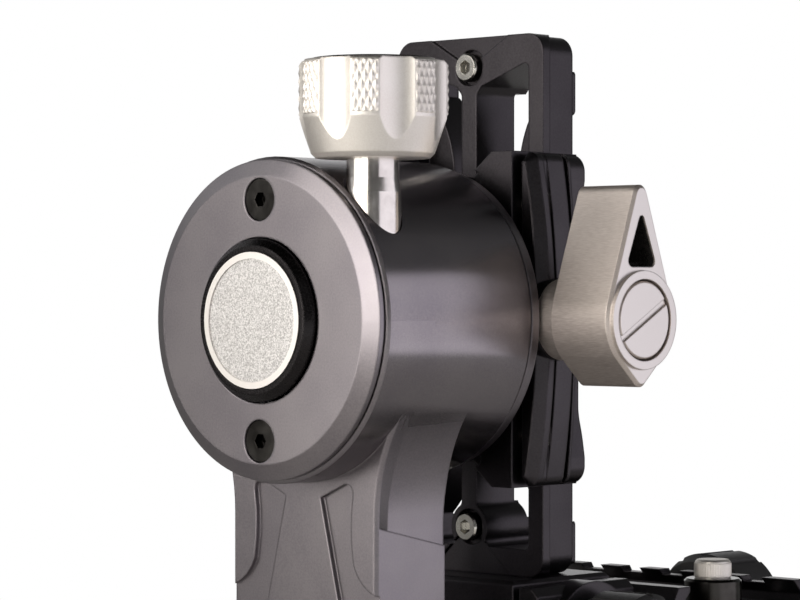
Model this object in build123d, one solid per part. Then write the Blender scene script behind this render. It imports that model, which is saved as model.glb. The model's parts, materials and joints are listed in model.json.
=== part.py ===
from build123d import *
from math import asin, cos, degrees, radians, sin, sqrt
import os

os.makedirs("parts", exist_ok=True)

# Gimbal tripod head. Millimetres, +Z up, origin at the centre of the mounting face on the pan axis.
# The arm stands at -X, the knobs of the clamps point to -Y, and the lens sits over the pan axis.

# ---- Driving dimensions -------------------------------------------------------------------------
TILT_HEIGHT = 160.0        # tilt axis above the mounting face

BARREL_R = 29.6            # round head of the arm, and the pan housing
BARREL_LENGTH = 37.9
BARREL_CHAMFER = 0.6
RUN_GAP = 0.6              # between a barrel and the flange that turns against it

CAP_R = 29.0               # cover disc over a barrel's end
CAP_FACE_R = 26.0
CAP_BEVEL = 1.45
CAP_RIM = 1.0
CAP_SHADOW_GAP = 0.5
CAP_SEAT_R = 27.4
CAP_HOLE_R = 15.0
CAP_SPIGOT_LENGTH = 0.9
CAP_SPIGOT_WALL = 2.5
CAP_SCREW_RADIUS = 21.75   # distance of the two cover screws from the axis
CAP_SCREW_HEAD_R = 3.75    # M4 countersunk
CAP_SCREW_R = 2.0
CAP_SCREW_DEPTH = 8.0
CAP_SCREW_SUNK = 0.25
COUNTERSINK = 1.9
HEX_KEY = 2.5              # across flats of the keys in the small screws
KEY_DEPTH = 1.8

HUB_R = 14.7               # turning end cap in the middle of the arm's cover
HUB_PROUD = 2.05
HUB_EDGE = 1.3
HUB_SCREW_R = 2.4
HUB_SCREW_HEAD_R = 4.2
HUB_SCREW_HEAD = 2.1
DISC_R = 12.3
DISC_RIM = 1.2
DISC_SUNK = 0.25
DISC_THICK = 1.2
DISC_PROUD = 0.1

LEVEL_R = 8.5              # bubble level in the pan cover
LEVEL_VIAL_R = 6.5
LEVEL_PROUD = 0.5
LEVEL_DEPTH = 2.0

NECK_HALF_WIDTH = 18.75    # arm below its head
NECK_THICK = 18.5
NECK_SETBACK = 8.0         # barrel end to the neck's outer face
NECK_BLEND_R = 35.0
NECK_CHAMFER = 0.66
PANEL_DEPTH = 0.95         # sunken panels in the arm's faces
PANEL_CORNER_R = 1.8
PANEL_FOOT = -94.2         # corners of a panel, in Z or in (Y, Z) from the tilt axis
PANEL_SPINE = (4.5, -32.2)
PANEL_TOP = (13.6, -28.2)
PANEL_WAIST = (12.3, -38.0)
PANEL_HIP = (13.0, -44.3)
PANEL_HIP_MIDDLE = (15.0, -47.2)
PANEL_SHOULDER = -49.6
RECESS_RAMP = 3.15         # slope from the neck's corner down into the side recess
RECESS_FRONT = 37.0        # recess's lower edge below the tilt axis, at the neck's front and back
RECESS_BACK = 41.3
FOOT_BOTTOM = 13.2
FOOT_THICK = 21.0
CORNER_OUTER_R = 17.0
CORNER_INNER_R = 13.0
ACCESSORY_R = 3.97         # minor radius of a 3/8"-16 thread
ACCESSORY_DEPTH = 12.0
ACCESSORY_BELOW_AXIS = 58.0

SPINDLE_R = 12.5           # both spindles
SPINDLE_STEP_R = 14.2
SPINDLE_NOSE = 1.0         # shaft's end below the barrel's end
SPINDLE_CHAMFER = 0.6
FLANGE_R = 28.9
FLANGE_THICK = 2.0
FLANGE_BOSS_R = 23.5
FLANGE_BOSS = 3.0

BEARING_R = 18.5           # ball bearing, 25 x 37 x 7
BEARING_WIDTH = 7.0
RACE_THICK = 1.8
SEAL_THICK = 0.6
SEAL_INSET = 0.4
SEAL_PLAY = 0.05
BEARING_GAP = 7.0          # between the two bearings of a spindle
HOUSING_SHOULDER = 3.2
SHOULDER_BORE_R = 16.4
SNAP_RING_THICK = 1.2
SNAP_RING_WIDTH = 2.2
SNAP_RING_GROOVE = 0.7
SNAP_RING_EAR = 4.2
SNAP_RING_SLOT = 2.4
SNAP_RING_EAR_HALF = 4.5
SNAP_RING_HOLE_R = 0.8
SNAP_RING_HOLE_Y = 2.8
NUT_SLOT = 2.4
NUT_WALL = 2.6

COLLAR_R = 16.2            # split brake collar on a spindle
COLLAR_WIDTH = 8.0
COLLAR_START = 1.8         # barrel end to collar
COLLAR_SLOT = 1.6
LUG_MARGIN = 5.2           # lug beyond the lock screw's axis
LUG_HALF_HEIGHT = 9.5
CAVITY_PLAY = 0.6
RUNNING_FIT = 0.04         # radial play of everything that turns in a bore
THREAD_FIT = 0.05

LOCK_OFFSET = 20.05        # spindle axis to lock screw axis
LOCK_SHAFT_R = 5.05
LOCK_HOLE_PLAY = 0.2
LOCK_NECK_R = 4.7
LOCK_NECK = 6.0            # thinner length of the lock shaft under the knob, and its taper
LOCK_NECK_TAPER = 2.5
LOCK_STUD_R = 3.0          # M6
KNOB_BELOW_CROWN = 0.8     # lock knob's foot below the top of the barrel that it stands beside
KNOB_LENGTH = 17.3
KNOB_R = 13.15
KNOB_BASE_R = 11.0
KNOB_TAPER = 7.0
KNOB_LOBES = 7
KNOB_FLUTE_R = 6.0
KNOB_FLUTE_DEPTH = 1.4
KNOB_INSERT_R = 11.2
KNOB_INSERT_DEPTH = 1.2
KNOB_INSERT_PROUD = 0.35

RAIL_HALF_WIDTH = 19.0     # 38 mm dovetail rail, as on the swing plate
RAIL_EDGE = 2.0
RAIL_FLANK = 3.0
SLIDE_FIT = 0.12           # between a dovetail and the clamp that holds it
JAW_GAP = 1.6              # between a clamp's body and its moving jaw

PLATE_THICK = 12.0
PLATE_TOP = 54.2           # above the tilt axis
PLATE_BOTTOM = -49.1
PLATE_CORNER_R = 3.8
PLATE_BAR = 3.7            # outer bars
PLATE_RIB_HALF = 1.95
PLATE_RIB_SUNK = 1.1       # middle rib below the plate's rear face
PLATE_BOSS_R = 4.6
WINDOW_CORNER_R = 1.1
WINDOW_TOP = 5.2           # window below the plate's top, and above its bottom
WINDOW_BOTTOM = 5.3
GUSSET_R = 23.0            # crescent webs in the plate's rear layer
GUSSET_REACH = 8.4
GUSSET_FROM_END = 26.7
STOP_SCREW_R = 2.75        # M3 socket heads
STOP_SCREW_PROUD = 1.2
STOP_SCREW_SEAT = 2.0
STOP_SCREW_SHANK_R = 1.25
STOP_SCREW_LENGTH = 8.0
STOP_TOP = 48.4
STOP_BOTTOM = -40.2
FACET_HALF = 11.8          # shallow funnel that leads the eye to each stop screw
FACET_DEPTH = 0.6
REAR_PAD = 1.8
REAR_PAD_HALF = 15.6
REAR_PAD_LENGTH = 8.7
REAR_PAD_TOP = 47.8
REAR_PAD_BOTTOM = -47.5
REAR_PAD_CORNER_R = 1.0

CLAMP_THICK = 9.3          # upper clamp, along X
CLAMP_HALF_HEIGHT = 31.5
CLAMP_LIP = 0.4            # clamp's body beyond the rail's edge, on the side of the jaw
CLAMP_FAR_WALL = 5.5
CLAMP_FAR_BEVEL = 4.0
CLAMP_EAR_Y = 14.3         # hollow in the clamp's two ends that lets the stop screws by
CLAMP_WAIST_Y = 6.6
CLAMP_WAIST_HALF = 25.4
CLAMP_STUD_SETBACK = 4.3   # plate's front face to the stud of the wing knob
CLAMP_STUD_ENGAGEMENT = 29.4
JAW_HALF_HEIGHT = 31.2
JAW_FRONT = 8.3            # jaw's front face before the plate's front face
JAW_DEPTH = 15.0           # jaw, along X
JAW_BOW_END = 2.2          # thickness at the ends and at the middle of its bowed side
JAW_BOW_MIDDLE = 5.4
JAW_STEPS = (              # from and to along X, thickness at the ends and at the middle
    (0.0, 3.3, JAW_BOW_END, JAW_BOW_MIDDLE),
    (3.3, 4.4, JAW_BOW_END - 0.05, JAW_BOW_MIDDLE - 1.8),
    (4.4, 9.0, JAW_BOW_END - 0.05, JAW_BOW_MIDDLE - 0.5),
    (9.0, 10.2, JAW_BOW_END - 1.4, JAW_BOW_MIDDLE - 2.4),
    (10.2, 10.8, JAW_BOW_END + 0.1, JAW_BOW_MIDDLE - 1.3),
)
JAW_BEVEL = 1.8            # outer front edge of the jaw
JAW_REAR_END = 2.6         # hook behind the steps, at its two ends and along its middle
JAW_REAR_MIDDLE = 1.0
JAW_REAR_CORNER = 3.4
STUD_R = 3.0
GUIDE_R = 2.0
GUIDE_Z = 21.5
GUIDE_DEPTH = 3.0          # pin in its jaw
GUIDE_LENGTH = 18.0
MOUNT_SCREW_R = 2.0        # M4 socket heads
MOUNT_SCREW_HEAD_R = 3.5
MOUNT_SCREW_HEAD = 4.0
MOUNT_SCREW_GRIP = 4.2
MOUNT_SCREW_Y = 10.5
MOUNT_SCREW_Z = 11.5
DIMPLE_R = 1.6             # blind marks in the clamp's face
DIMPLE_DEPTH = 1.4
DIMPLE_Y = -9.9
DIMPLE_Z = 26.3

WING_R = 9.6               # wing knob
WING_TOP = 24.6
WING_STUB = 12.2
WING_TIP_R = 2.0
WING_THICK = 13.6
WING_HUB_R = 7.6
WING_HUB_LENGTH = 5.4
WING_HUB_GAP = 0.25
WING_SEAT = 0.9            # jaw's round seat under the hub
WING_FACE_R = 9.0
WING_FACE_PROUD = 0.8
WING_WINDOW_TOP = 18.2
WING_WINDOW_FOOT = 10.8
WING_WINDOW_HALF = 2.6
WING_WINDOW_TOP_R = 0.8
WING_WINDOW_FOOT_R = 1.2
WING_CAP_R = 7.1
WING_CAP_PLAY = 0.35
WING_CAP_DEPTH = 3.0
WING_SLOT = 1.25
WING_SLOT_ANGLE = 29.0
WING_SLOT_DEPTH = 0.5

LOWER_HEIGHT = 17.3        # lower clamp, below the swing plate
LOWER_LENGTH = 28.0
LOWER_LIP = -0.5
LOWER_HOOK = 6.5
LOWER_JAW_THICK = 4.5
LOWER_STUD_DROP = 11.8     # plate's bottom to the stud of the lower knob
LOWER_STUD_ENGAGEMENT = 10.0
LOWER_GUIDE_X = 9.5
LOWER_GUIDE_LENGTH = 15.0
PLATFORM_SCREW_Y = (-3.5, 11.5)
PLATFORM_SCREW_GRIP = 4.0
SOCKET_SCREW_R = 2.0       # M4 socket heads under the lower clamp and the cross rail
SOCKET_HEAD_R = 3.5
SOCKET_HEAD = 4.0
SOCKET_KEY = 3.0
ROUND_KNOB_R = 10.0
ROUND_KNOB_LENGTH = 14.0
ROUND_KNOB_GROOVES = 12
ROUND_KNOB_GROOVE_R = 0.9
ROUND_KNOB_STEP = 1.5      # grip to neck, and grip to the dish in its face
ROUND_KNOB_DISH = 0.8
ROUND_KNOB_GAP = 0.3
ROUND_BOSS_R = 11.5
ROUND_BOSS = 2.0

CROSS_RAIL_THICK = 9.0
CROSS_RAIL_START = -59.0
CROSS_RAIL_END = 22.0
CROSS_SLOT = (26.0, 9.0)   # weight-saving slot, length and width
CROSS_SLOT_FROM_LENS = 2.0
CROSS_SCREW_X = 12.0
CROSS_SCREW_Y = 9.0
CROSS_SCREW_GRIP = 4.4

LENS_RIM = 1.0             # lens clamp's jaw tops and foot, beyond the rail's edge
LENS_FOOT_RIM = 4.5
LENS_GAP = 1.2             # between the lower clamp and the lens clamp over the pan axis
LENS_HALF_LENGTH = 32.0
LENS_TOP = -52.6
LENS_FIXED_LIP = 1.0       # fixed jaw stands this much higher than the moving one
LENS_FLOOR = -57.7
LENS_CORNER = 2.0
LENS_PLAY = 0.6            # lens foot's dovetail in the open clamp
LENS_SPLIT = 2.0           # body's edge short of the dovetail's corner
LENS_STUD_DROP = 4.2
LENS_STUD_END = 2.0
LENS_GUIDE_Y = 20.0
LENS_GUIDE_LENGTH = 14.0
LENS_BOSS_R = 9.0
LENS_BOSS = 1.5
LENS_KNOB_R = 12.0
LENS_KNOB_LENGTH = 15.0
TOOTH = 5.2                # teeth along the moving jaw's top
TOOTH_PITCH = 10.6
TOOTH_GAPS = 5
TOOTH_HEIGHT = 1.1
POST_Y = -24.5             # stop screw that keeps the lens foot from sliding out
POST_HEAD_R = 3.5
POST_HEAD = 3.7
POST_COLLAR_R = 5.7
POST_COLLAR = 6.2
POST_THREAD_R = 1.6
POST_THREAD = 5.0

BASE_R = 30.0
BASE_FOOT_CHAMFER = 2.0
BASE_EDGE_CHAMFER = 1.2
BASE_GROOVE = (25.0, 23.0, 0.8)  # ring groove in the mounting face: outer and inner radius, depth
SOCKET_R = 3.97            # minor radius of a 3/8"-16 thread
SOCKET_DEPTH = 11.0
SOCKET_BUSH_R = 7.0
SOCKET_BUSH_END = 1.0

# ---- Sizes that follow the pieces they fit ------------------------------------------------------
KNOB_START = BARREL_R - KNOB_BELOW_CROWN     # all three measured from the spindle axis
KNOB_TAPER_TOP = KNOB_START + KNOB_TAPER
KNOB_END = KNOB_START + KNOB_LENGTH
LOCK_NECK_START = KNOB_START - LOCK_NECK
RAIL_NECK_HALF = RAIL_HALF_WIDTH - RAIL_FLANK
CLAMP_NEAR_Y = RAIL_HALF_WIDTH + CLAMP_LIP
LOWER_NEAR_Y = RAIL_HALF_WIDTH + LOWER_LIP
LENS_HALF_WIDTH = RAIL_HALF_WIDTH + LENS_RIM
LENS_HALF_FOOT = RAIL_HALF_WIDTH + LENS_FOOT_RIM
# pan axis to the front face of the swing plate
LENS_OFFSET = LENS_HALF_FOOT + LENS_GAP + LOWER_LENGTH / 2 + PLATE_THICK / 2

# ---- Places along the tilt axis, worked out from the stack of pieces ----------------------------
X_PLATE = -LENS_OFFSET
X_CLAMP = X_PLATE - CLAMP_THICK
X_FLANGE = X_CLAMP - FLANGE_BOSS - FLANGE_THICK
X_BARREL_INNER = X_FLANGE - RUN_GAP
X_BARREL = X_BARREL_INNER - BARREL_LENGTH
X_NECK = X_BARREL + NECK_SETBACK
X_STUD = X_PLATE - CLAMP_STUD_SETBACK
X_PLATE_MID = X_PLATE + PLATE_THICK / 2
X_PLATE_REAR = X_PLATE + RAIL_EDGE + RAIL_FLANK
PLATE_MID = (PLATE_TOP + PLATE_BOTTOM) / 2
LOWER_TOP = PLATE_BOTTOM
LOWER_BOTTOM = LOWER_TOP - LOWER_HEIGHT
LOWER_X = (X_PLATE_MID - LOWER_LENGTH / 2, X_PLATE_MID + LOWER_LENGTH / 2)
LOWER_STUD_Z = LOWER_TOP - LOWER_STUD_DROP
LENS_STUD_Z = LENS_FLOOR - LENS_STUD_DROP
Z_HUB_TOP = FOOT_BOTTOM - RUN_GAP + BARREL_LENGTH
JAW_INNER = -CLAMP_NEAR_Y - JAW_GAP
JAW_OUTER = JAW_INNER - JAW_BOW_MIDDLE
LOWER_JAW_INNER = -LOWER_NEAR_Y - JAW_GAP
LOWER_JAW_OUTER = LOWER_JAW_INNER - LOWER_JAW_THICK
LENS_NECK = RAIL_NECK_HALF + LENS_PLAY
LENS_WIDE = RAIL_HALF_WIDTH + LENS_PLAY
LENS_BODY_END = LENS_WIDE - LENS_SPLIT
LENS_JAW_INNER = LENS_BODY_END + JAW_GAP

# A spindle unit is drawn about its own axis: Z runs from the barrel's covered end inwards, X points
# to the lug of the brake collar, and the lock knob stands out along -Y.
TILT = Plane(origin=(X_BARREL, 0, TILT_HEIGHT), x_dir=(0, -1, 0), z_dir=(1, 0, 0))
PAN = Plane(origin=(0, 0, Z_HUB_TOP), x_dir=(-1, 0, 0), z_dir=(0, 0, -1))

CAP_FACE = -CAP_SHADOW_GAP - CAP_RIM - CAP_BEVEL
COLLAR_END = COLLAR_START + COLLAR_WIDTH
LOCK_Z = COLLAR_START + COLLAR_WIDTH / 2
LUG_REACH = LOCK_OFFSET + LUG_MARGIN
BEARING_1 = COLLAR_END + CAVITY_PLAY + HOUSING_SHOULDER
BEARING_2 = BEARING_1 + BEARING_WIDTH + BEARING_GAP
BEARING_END = BEARING_2 + BEARING_WIDTH
FLANGE_START = BARREL_LENGTH + RUN_GAP


# ---- Helpers ------------------------------------------------------------------------------------
def bar(axis, radius, start, end, at=(0, 0)):
    """Round bar along X, Y or Z from start to end; at holds its other two coordinates in order."""
    origin = {"X": (start, *at), "Y": (at[0], start, at[1]), "Z": (*at, start)}[axis]
    direction = {"X": (1, 0, 0), "Y": (0, 1, 0), "Z": (0, 0, 1)}[axis]
    return extrude(Plane(origin=origin, z_dir=direction) * Circle(radius), end - start)


def tube(radius, bore, start, end):
    return bar("Z", radius, start, end) - bar("Z", bore, start, end)


def block(x, y, z):
    """Box from three (low, high) pairs."""
    middle = [(low + high) / 2 for low, high in (x, y, z)]
    return Pos(*middle) * Box(x[1] - x[0], y[1] - y[0], z[1] - z[0])


def slab_yz(sketch, x0, x1):
    """Extrude a sketch drawn in (Y, Z) along X."""
    return extrude(Plane(origin=(x0, 0, 0), x_dir=(0, 1, 0), z_dir=(1, 0, 0)) * sketch, x1 - x0)


def slab_xz(sketch, y0, y1):
    """Extrude a sketch drawn in (X, Z) along Y."""
    return extrude(Plane(origin=(0, y1, 0), x_dir=(1, 0, 0), z_dir=(0, -1, 0)) * sketch, y1 - y0)


def slab_xy(sketch, z0, z1):
    return extrude(Plane(origin=(0, 0, z0)) * sketch, z1 - z0)


def outline(*points):
    return make_face(Polyline(*points, close=True))


def turned(*points):
    """Solid of revolution about Z from (radius, height) points."""
    return revolve(Plane.XZ * outline(*points), Axis.Z)


def mirrored_y(shape):
    return shape + mirror(shape, Plane.XZ)


def at_tilt_axis(shape):
    return Pos(0, 0, TILT_HEIGHT) * shape


def socket_screw(axis, at, head, shank, key=SOCKET_KEY, radii=(SOCKET_HEAD_R, SOCKET_SCREW_R - THREAD_FIT)):
    """Socket screw along an axis: head and shank are (start, end), and the head's start is its top."""
    top, seat = head
    inwards = 1 if seat > top else -1
    screw = bar(axis, radii[0], min(head), max(head), at)
    screw += bar(axis, radii[1], min(shank), max(shank), at)
    flats = Plane(origin={"X": (top, *at), "Y": (at[0], top, at[1]), "Z": (*at, top)}[axis],
                  z_dir={"X": (inwards, 0, 0), "Y": (0, inwards, 0), "Z": (0, 0, inwards)}[axis])
    return screw - extrude(flats * RegularPolygon(key / 2, 6, major_radius=False), abs(seat - top) / 2)


# ---- Outline shared by the arm's head and the pan housing ---------------------------------------
def head_outline(half_width, blend_r, reach):
    """Circle that runs through two hollow arcs into a straight neck, which points to -Y."""
    arc_x = half_width + blend_r
    arc_y = -sqrt((BARREL_R + blend_r) ** 2 - arc_x ** 2)
    web = outline((0, 0), (arc_x, arc_y), (half_width, arc_y), (half_width, -reach),
                  (-half_width, -reach), (-half_width, arc_y), (-arc_x, arc_y))
    web -= Pos(arc_x, arc_y) * Circle(blend_r) + Pos(-arc_x, arc_y) * Circle(blend_r)
    return Circle(BARREL_R) + web


# ---- Spindle unit, in its own frame -------------------------------------------------------------
def housing_cuts():
    """Bore, collar cavity, lock shaft hole and cover screw holes of a barrel."""
    shoulder_start = COLLAR_END + CAVITY_PLAY
    cuts = bar("Z", BEARING_R, -1, shoulder_start)
    cuts += bar("Z", SHOULDER_BORE_R, shoulder_start - 1, BEARING_1 + 1)
    cuts += bar("Z", BEARING_R, BEARING_1, BARREL_LENGTH + 1)
    cuts += bar("Z", BEARING_R + SNAP_RING_GROOVE, BEARING_END, BEARING_END + SNAP_RING_THICK)
    lug_room = LUG_HALF_HEIGHT + CAVITY_PLAY
    cuts += block((0, LUG_REACH + CAVITY_PLAY), (-lug_room, lug_room),
                  (COLLAR_START - CAVITY_PLAY, shoulder_start))
    for side in (-1, 1):
        cuts += bar("Z", CAP_SCREW_R - THREAD_FIT, -1, CAP_SCREW_DEPTH, (0, side * CAP_SCREW_RADIUS))
    return cuts + bar("Y", LOCK_SHAFT_R + LOCK_HOLE_PLAY, -BARREL_R - 5, -LUG_HALF_HEIGHT, (LOCK_OFFSET, LOCK_Z))


def brake_collar():
    """Split ring with two lugs; the lock screw pulls the lugs together."""
    width = (COLLAR_START, COLLAR_END)
    through = (COLLAR_START - 1, COLLAR_END + 1)
    lugs = block((SPINDLE_R - 2, LUG_REACH), (-LUG_HALF_HEIGHT, LUG_HALF_HEIGHT), width)
    collar = bar("Z", COLLAR_R, *width) + lugs
    collar = chamfer(collar.edges().filter_by(Axis.Z).sort_by(Axis.X)[-2:], 1.5)
    collar -= bar("Z", SPINDLE_R + RUNNING_FIT, *through)
    collar -= block((0, LUG_REACH + 1), (-COLLAR_SLOT / 2, COLLAR_SLOT / 2), through)
    return collar - bar("Y", LOCK_STUD_R + RUNNING_FIT, -LUG_HALF_HEIGHT - 1, LUG_HALF_HEIGHT + 1,
                        (LOCK_OFFSET, LOCK_Z))


def inner_races():
    ring = tube(SPINDLE_R + RACE_THICK, SPINDLE_R, 0, BEARING_WIDTH)
    return [Pos(0, 0, start) * ring for start in (BEARING_1, BEARING_2)]


def outer_races():
    ring = tube(BEARING_R, BEARING_R - RACE_THICK, 0, BEARING_WIDTH)
    return [Pos(0, 0, start) * ring for start in (BEARING_1, BEARING_2)]


def bearing_seals():
    """Ring seals that close both sides of each ball bearing."""
    seal = tube(BEARING_R - RACE_THICK, SPINDLE_R + RACE_THICK + SEAL_PLAY, 0, SEAL_THICK)
    insets = (SEAL_INSET, BEARING_WIDTH - SEAL_INSET - SEAL_THICK)
    return [Pos(0, 0, start + inset) * seal for start in (BEARING_1, BEARING_2) for inset in insets]


def bearing_spacers():
    """Two sleeves that keep the inner and outer races apart."""
    span = (BEARING_1 + BEARING_WIDTH, BEARING_2)
    return tube(SPINDLE_R + RACE_THICK, SPINDLE_R, *span), tube(BEARING_R, BEARING_R - RACE_THICK, *span)


def spindle_nut():
    """Ring nut that holds the inner races on the spindle, inside the housing's shoulder."""
    start = COLLAR_END + 1.5 * CAVITY_PLAY
    nut = tube(SPINDLE_R + NUT_WALL, SPINDLE_R, start, BEARING_1)
    slot = block((SPINDLE_R + NUT_WALL / 2, SPINDLE_R + NUT_WALL + 1), (-NUT_SLOT / 2, NUT_SLOT / 2),
                 (start - 1, BEARING_1 + 1))
    for place in PolarLocations(0, 4):
        nut -= place * slot
    return nut


def snap_ring():
    """Internal retaining ring, open at one side and with a hole in each ear."""
    span = (BEARING_END, BEARING_END + SNAP_RING_THICK)
    through = (span[0] - 1, span[1] + 1)
    ring = tube(BEARING_R + SNAP_RING_GROOVE - THREAD_FIT, BEARING_R - SNAP_RING_WIDTH, *span)
    ear = tube(BEARING_R - 1, BEARING_R - SNAP_RING_EAR, *span)
    ring += ear & block((0, BEARING_R), (-SNAP_RING_EAR_HALF, SNAP_RING_EAR_HALF), span)
    ring -= block((0, BEARING_R + 2), (-SNAP_RING_SLOT / 2, SNAP_RING_SLOT / 2), through)
    for side in (-1, 1):
        hole_x = BEARING_R - SNAP_RING_WIDTH - SNAP_RING_HOLE_R / 2
        ring -= bar("Z", SNAP_RING_HOLE_R, *through, (hole_x, side * SNAP_RING_HOLE_Y))
    return ring


def spindle_shaft(end):
    """Turned shaft with the step that seats the inner race."""
    nose = SPINDLE_NOSE
    return turned((0, nose), (SPINDLE_R - SPINDLE_CHAMFER, nose), (SPINDLE_R, nose + SPINDLE_CHAMFER),
                  (SPINDLE_R, BEARING_END), (SPINDLE_STEP_R, BEARING_END), (SPINDLE_STEP_R, end), (0, end))


def cap_disc():
    """Cover disc with a bevelled edge, a seat, a spigot in the bore and two countersunk holes."""
    edge = CAP_FACE + CAP_BEVEL
    spigot_r = BEARING_R - SLIDE_FIT
    cap = turned((0, CAP_FACE), (CAP_FACE_R, CAP_FACE), (CAP_R, edge), (CAP_R, -CAP_SHADOW_GAP),
                 (CAP_SEAT_R, -CAP_SHADOW_GAP), (CAP_SEAT_R, 0), (spigot_r, 0), (spigot_r, CAP_SPIGOT_LENGTH),
                 (spigot_r - CAP_SPIGOT_WALL, CAP_SPIGOT_LENGTH), (spigot_r - CAP_SPIGOT_WALL, 0), (0, 0))
    head_r = CAP_SCREW_HEAD_R + 0.15
    rim = CAP_FACE + CAP_SCREW_SUNK + 0.3
    sink = turned((0, CAP_FACE - 1), (head_r, CAP_FACE - 1), (head_r, rim),
                  (CAP_SCREW_R + 0.1, rim + COUNTERSINK - 0.2), (CAP_SCREW_R + 0.1, 1), (0, 1))
    for side in (-1, 1):
        cap -= Pos(0, side * CAP_SCREW_RADIUS, 0) * sink
    return cap


def cap_screws():
    """Two countersunk screws with hexagon sockets."""
    face = CAP_FACE + CAP_SCREW_SUNK
    shank_r = CAP_SCREW_R - 2 * THREAD_FIT
    end = CAP_SCREW_DEPTH - 1
    screw = turned((0, face), (CAP_SCREW_HEAD_R, face), (CAP_SCREW_HEAD_R, face + 0.2),
                   (shank_r, face + COUNTERSINK), (shank_r, end), (0, end))
    screw -= slab_xy(RegularPolygon(HEX_KEY / 2, 6, major_radius=False), face, face + KEY_DEPTH)
    return [Pos(0, side * CAP_SCREW_RADIUS, 0) * screw for side in (-1, 1)]


def lock_knob():
    """Lobed knob head with the polished shaft that comes out of it, about the Z axis."""
    head = turned((0, KNOB_START), (KNOB_BASE_R - 0.8, KNOB_START), (KNOB_BASE_R, KNOB_START + 0.8),
                  (KNOB_R, KNOB_TAPER_TOP), (KNOB_R, KNOB_END - 0.5), (KNOB_R - 0.5, KNOB_END),
                  (0, KNOB_END))
    flute_reach = KNOB_R - KNOB_FLUTE_DEPTH + KNOB_FLUTE_R
    flute = bar("Z", KNOB_FLUTE_R, KNOB_START - 1, KNOB_END + 1, (flute_reach, 0))
    for index in range(KNOB_LOBES):
        head -= Rot(0, 0, (index + 0.75) * 360 / KNOB_LOBES) * flute
    return head - bar("Z", KNOB_INSERT_R, KNOB_END - KNOB_INSERT_DEPTH, KNOB_END + 1)


def knob_insert():
    """Smooth insert in the knob's end."""
    top = KNOB_END + KNOB_INSERT_PROUD
    insert_r = KNOB_INSERT_R - THREAD_FIT / 2
    floor = KNOB_END - KNOB_INSERT_DEPTH
    return turned((0, floor), (insert_r, floor), (insert_r, top - 0.3), (insert_r - 0.3, top), (0, top))


def lock_shaft():
    """Polished shaft and its stud; the stud runs through both lugs of the collar."""
    stud_r = LOCK_STUD_R - THREAD_FIT
    return turned((0, -LUG_HALF_HEIGHT), (stud_r, -LUG_HALF_HEIGHT), (stud_r, LUG_HALF_HEIGHT),
                  (LOCK_SHAFT_R, LUG_HALF_HEIGHT), (LOCK_SHAFT_R, LOCK_NECK_START),
                  (LOCK_NECK_R, LOCK_NECK_START + LOCK_NECK_TAPER), (LOCK_NECK_R, KNOB_START), (0, KNOB_START))


def to_lock_axis(shape):
    """Move a piece drawn about Z onto the lock screw's axis of a spindle unit."""
    return Plane(origin=(LOCK_OFFSET, 0, LOCK_Z), x_dir=(0, 0, 1), z_dir=(0, -1, 0)) * shape


# ---- Arm ----------------------------------------------------------------------------------------
def front_panel():
    """Sunken panel beside the spine of the neck, in (Y, Z) from the tilt axis, for +Y."""
    edge = NECK_HALF_WIDTH + 1
    spine = Polyline((edge, PANEL_FOOT), PANEL_SPINE, PANEL_TOP)
    outer = ThreePointArc(PANEL_TOP, PANEL_WAIST, PANEL_HIP)
    shoulder = ThreePointArc(PANEL_HIP, PANEL_HIP_MIDDLE, (edge, PANEL_SHOULDER))
    side = Line((edge, PANEL_SHOULDER), (edge, PANEL_FOOT))
    panel = make_face(spine + outer + shoulder + side)
    corners = panel.vertices().sort_by(Axis.Y)
    return fillet(corners[-1], PANEL_CORNER_R)


def neck_section(x, inset=0.0):
    """Outline of the head and neck at x, in (Y, Z) from the tilt axis, drawn in by inset."""
    plane = Plane(origin=(x, 0, 0), x_dir=(0, 1, 0), z_dir=(1, 0, 0))
    return plane * head_outline(NECK_HALF_WIDTH - inset, NECK_BLEND_R + inset, TILT_HEIGHT / 2)


def side_recess():
    """Shallow step round the neck's sides above a slanted line, with a ramp at its front."""
    front = X_NECK + NECK_CHAMFER
    full_depth = front + RECESS_RAMP
    back = X_NECK + NECK_THICK + 1
    ring = extrude(neck_section(front), back - front)
    ring -= loft([neck_section(front), neck_section(full_depth, PANEL_DEPTH)], ruled=True)
    ring -= extrude(neck_section(full_depth, PANEL_DEPTH), back - full_depth)
    above = outline((X_NECK, -RECESS_FRONT), (X_NECK + NECK_THICK, -RECESS_BACK), (back, -RECESS_BACK),
                    (back, 0), (X_NECK, 0))
    return ring & slab_xz(above, -BARREL_R - 5, BARREL_R + 5)


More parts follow.
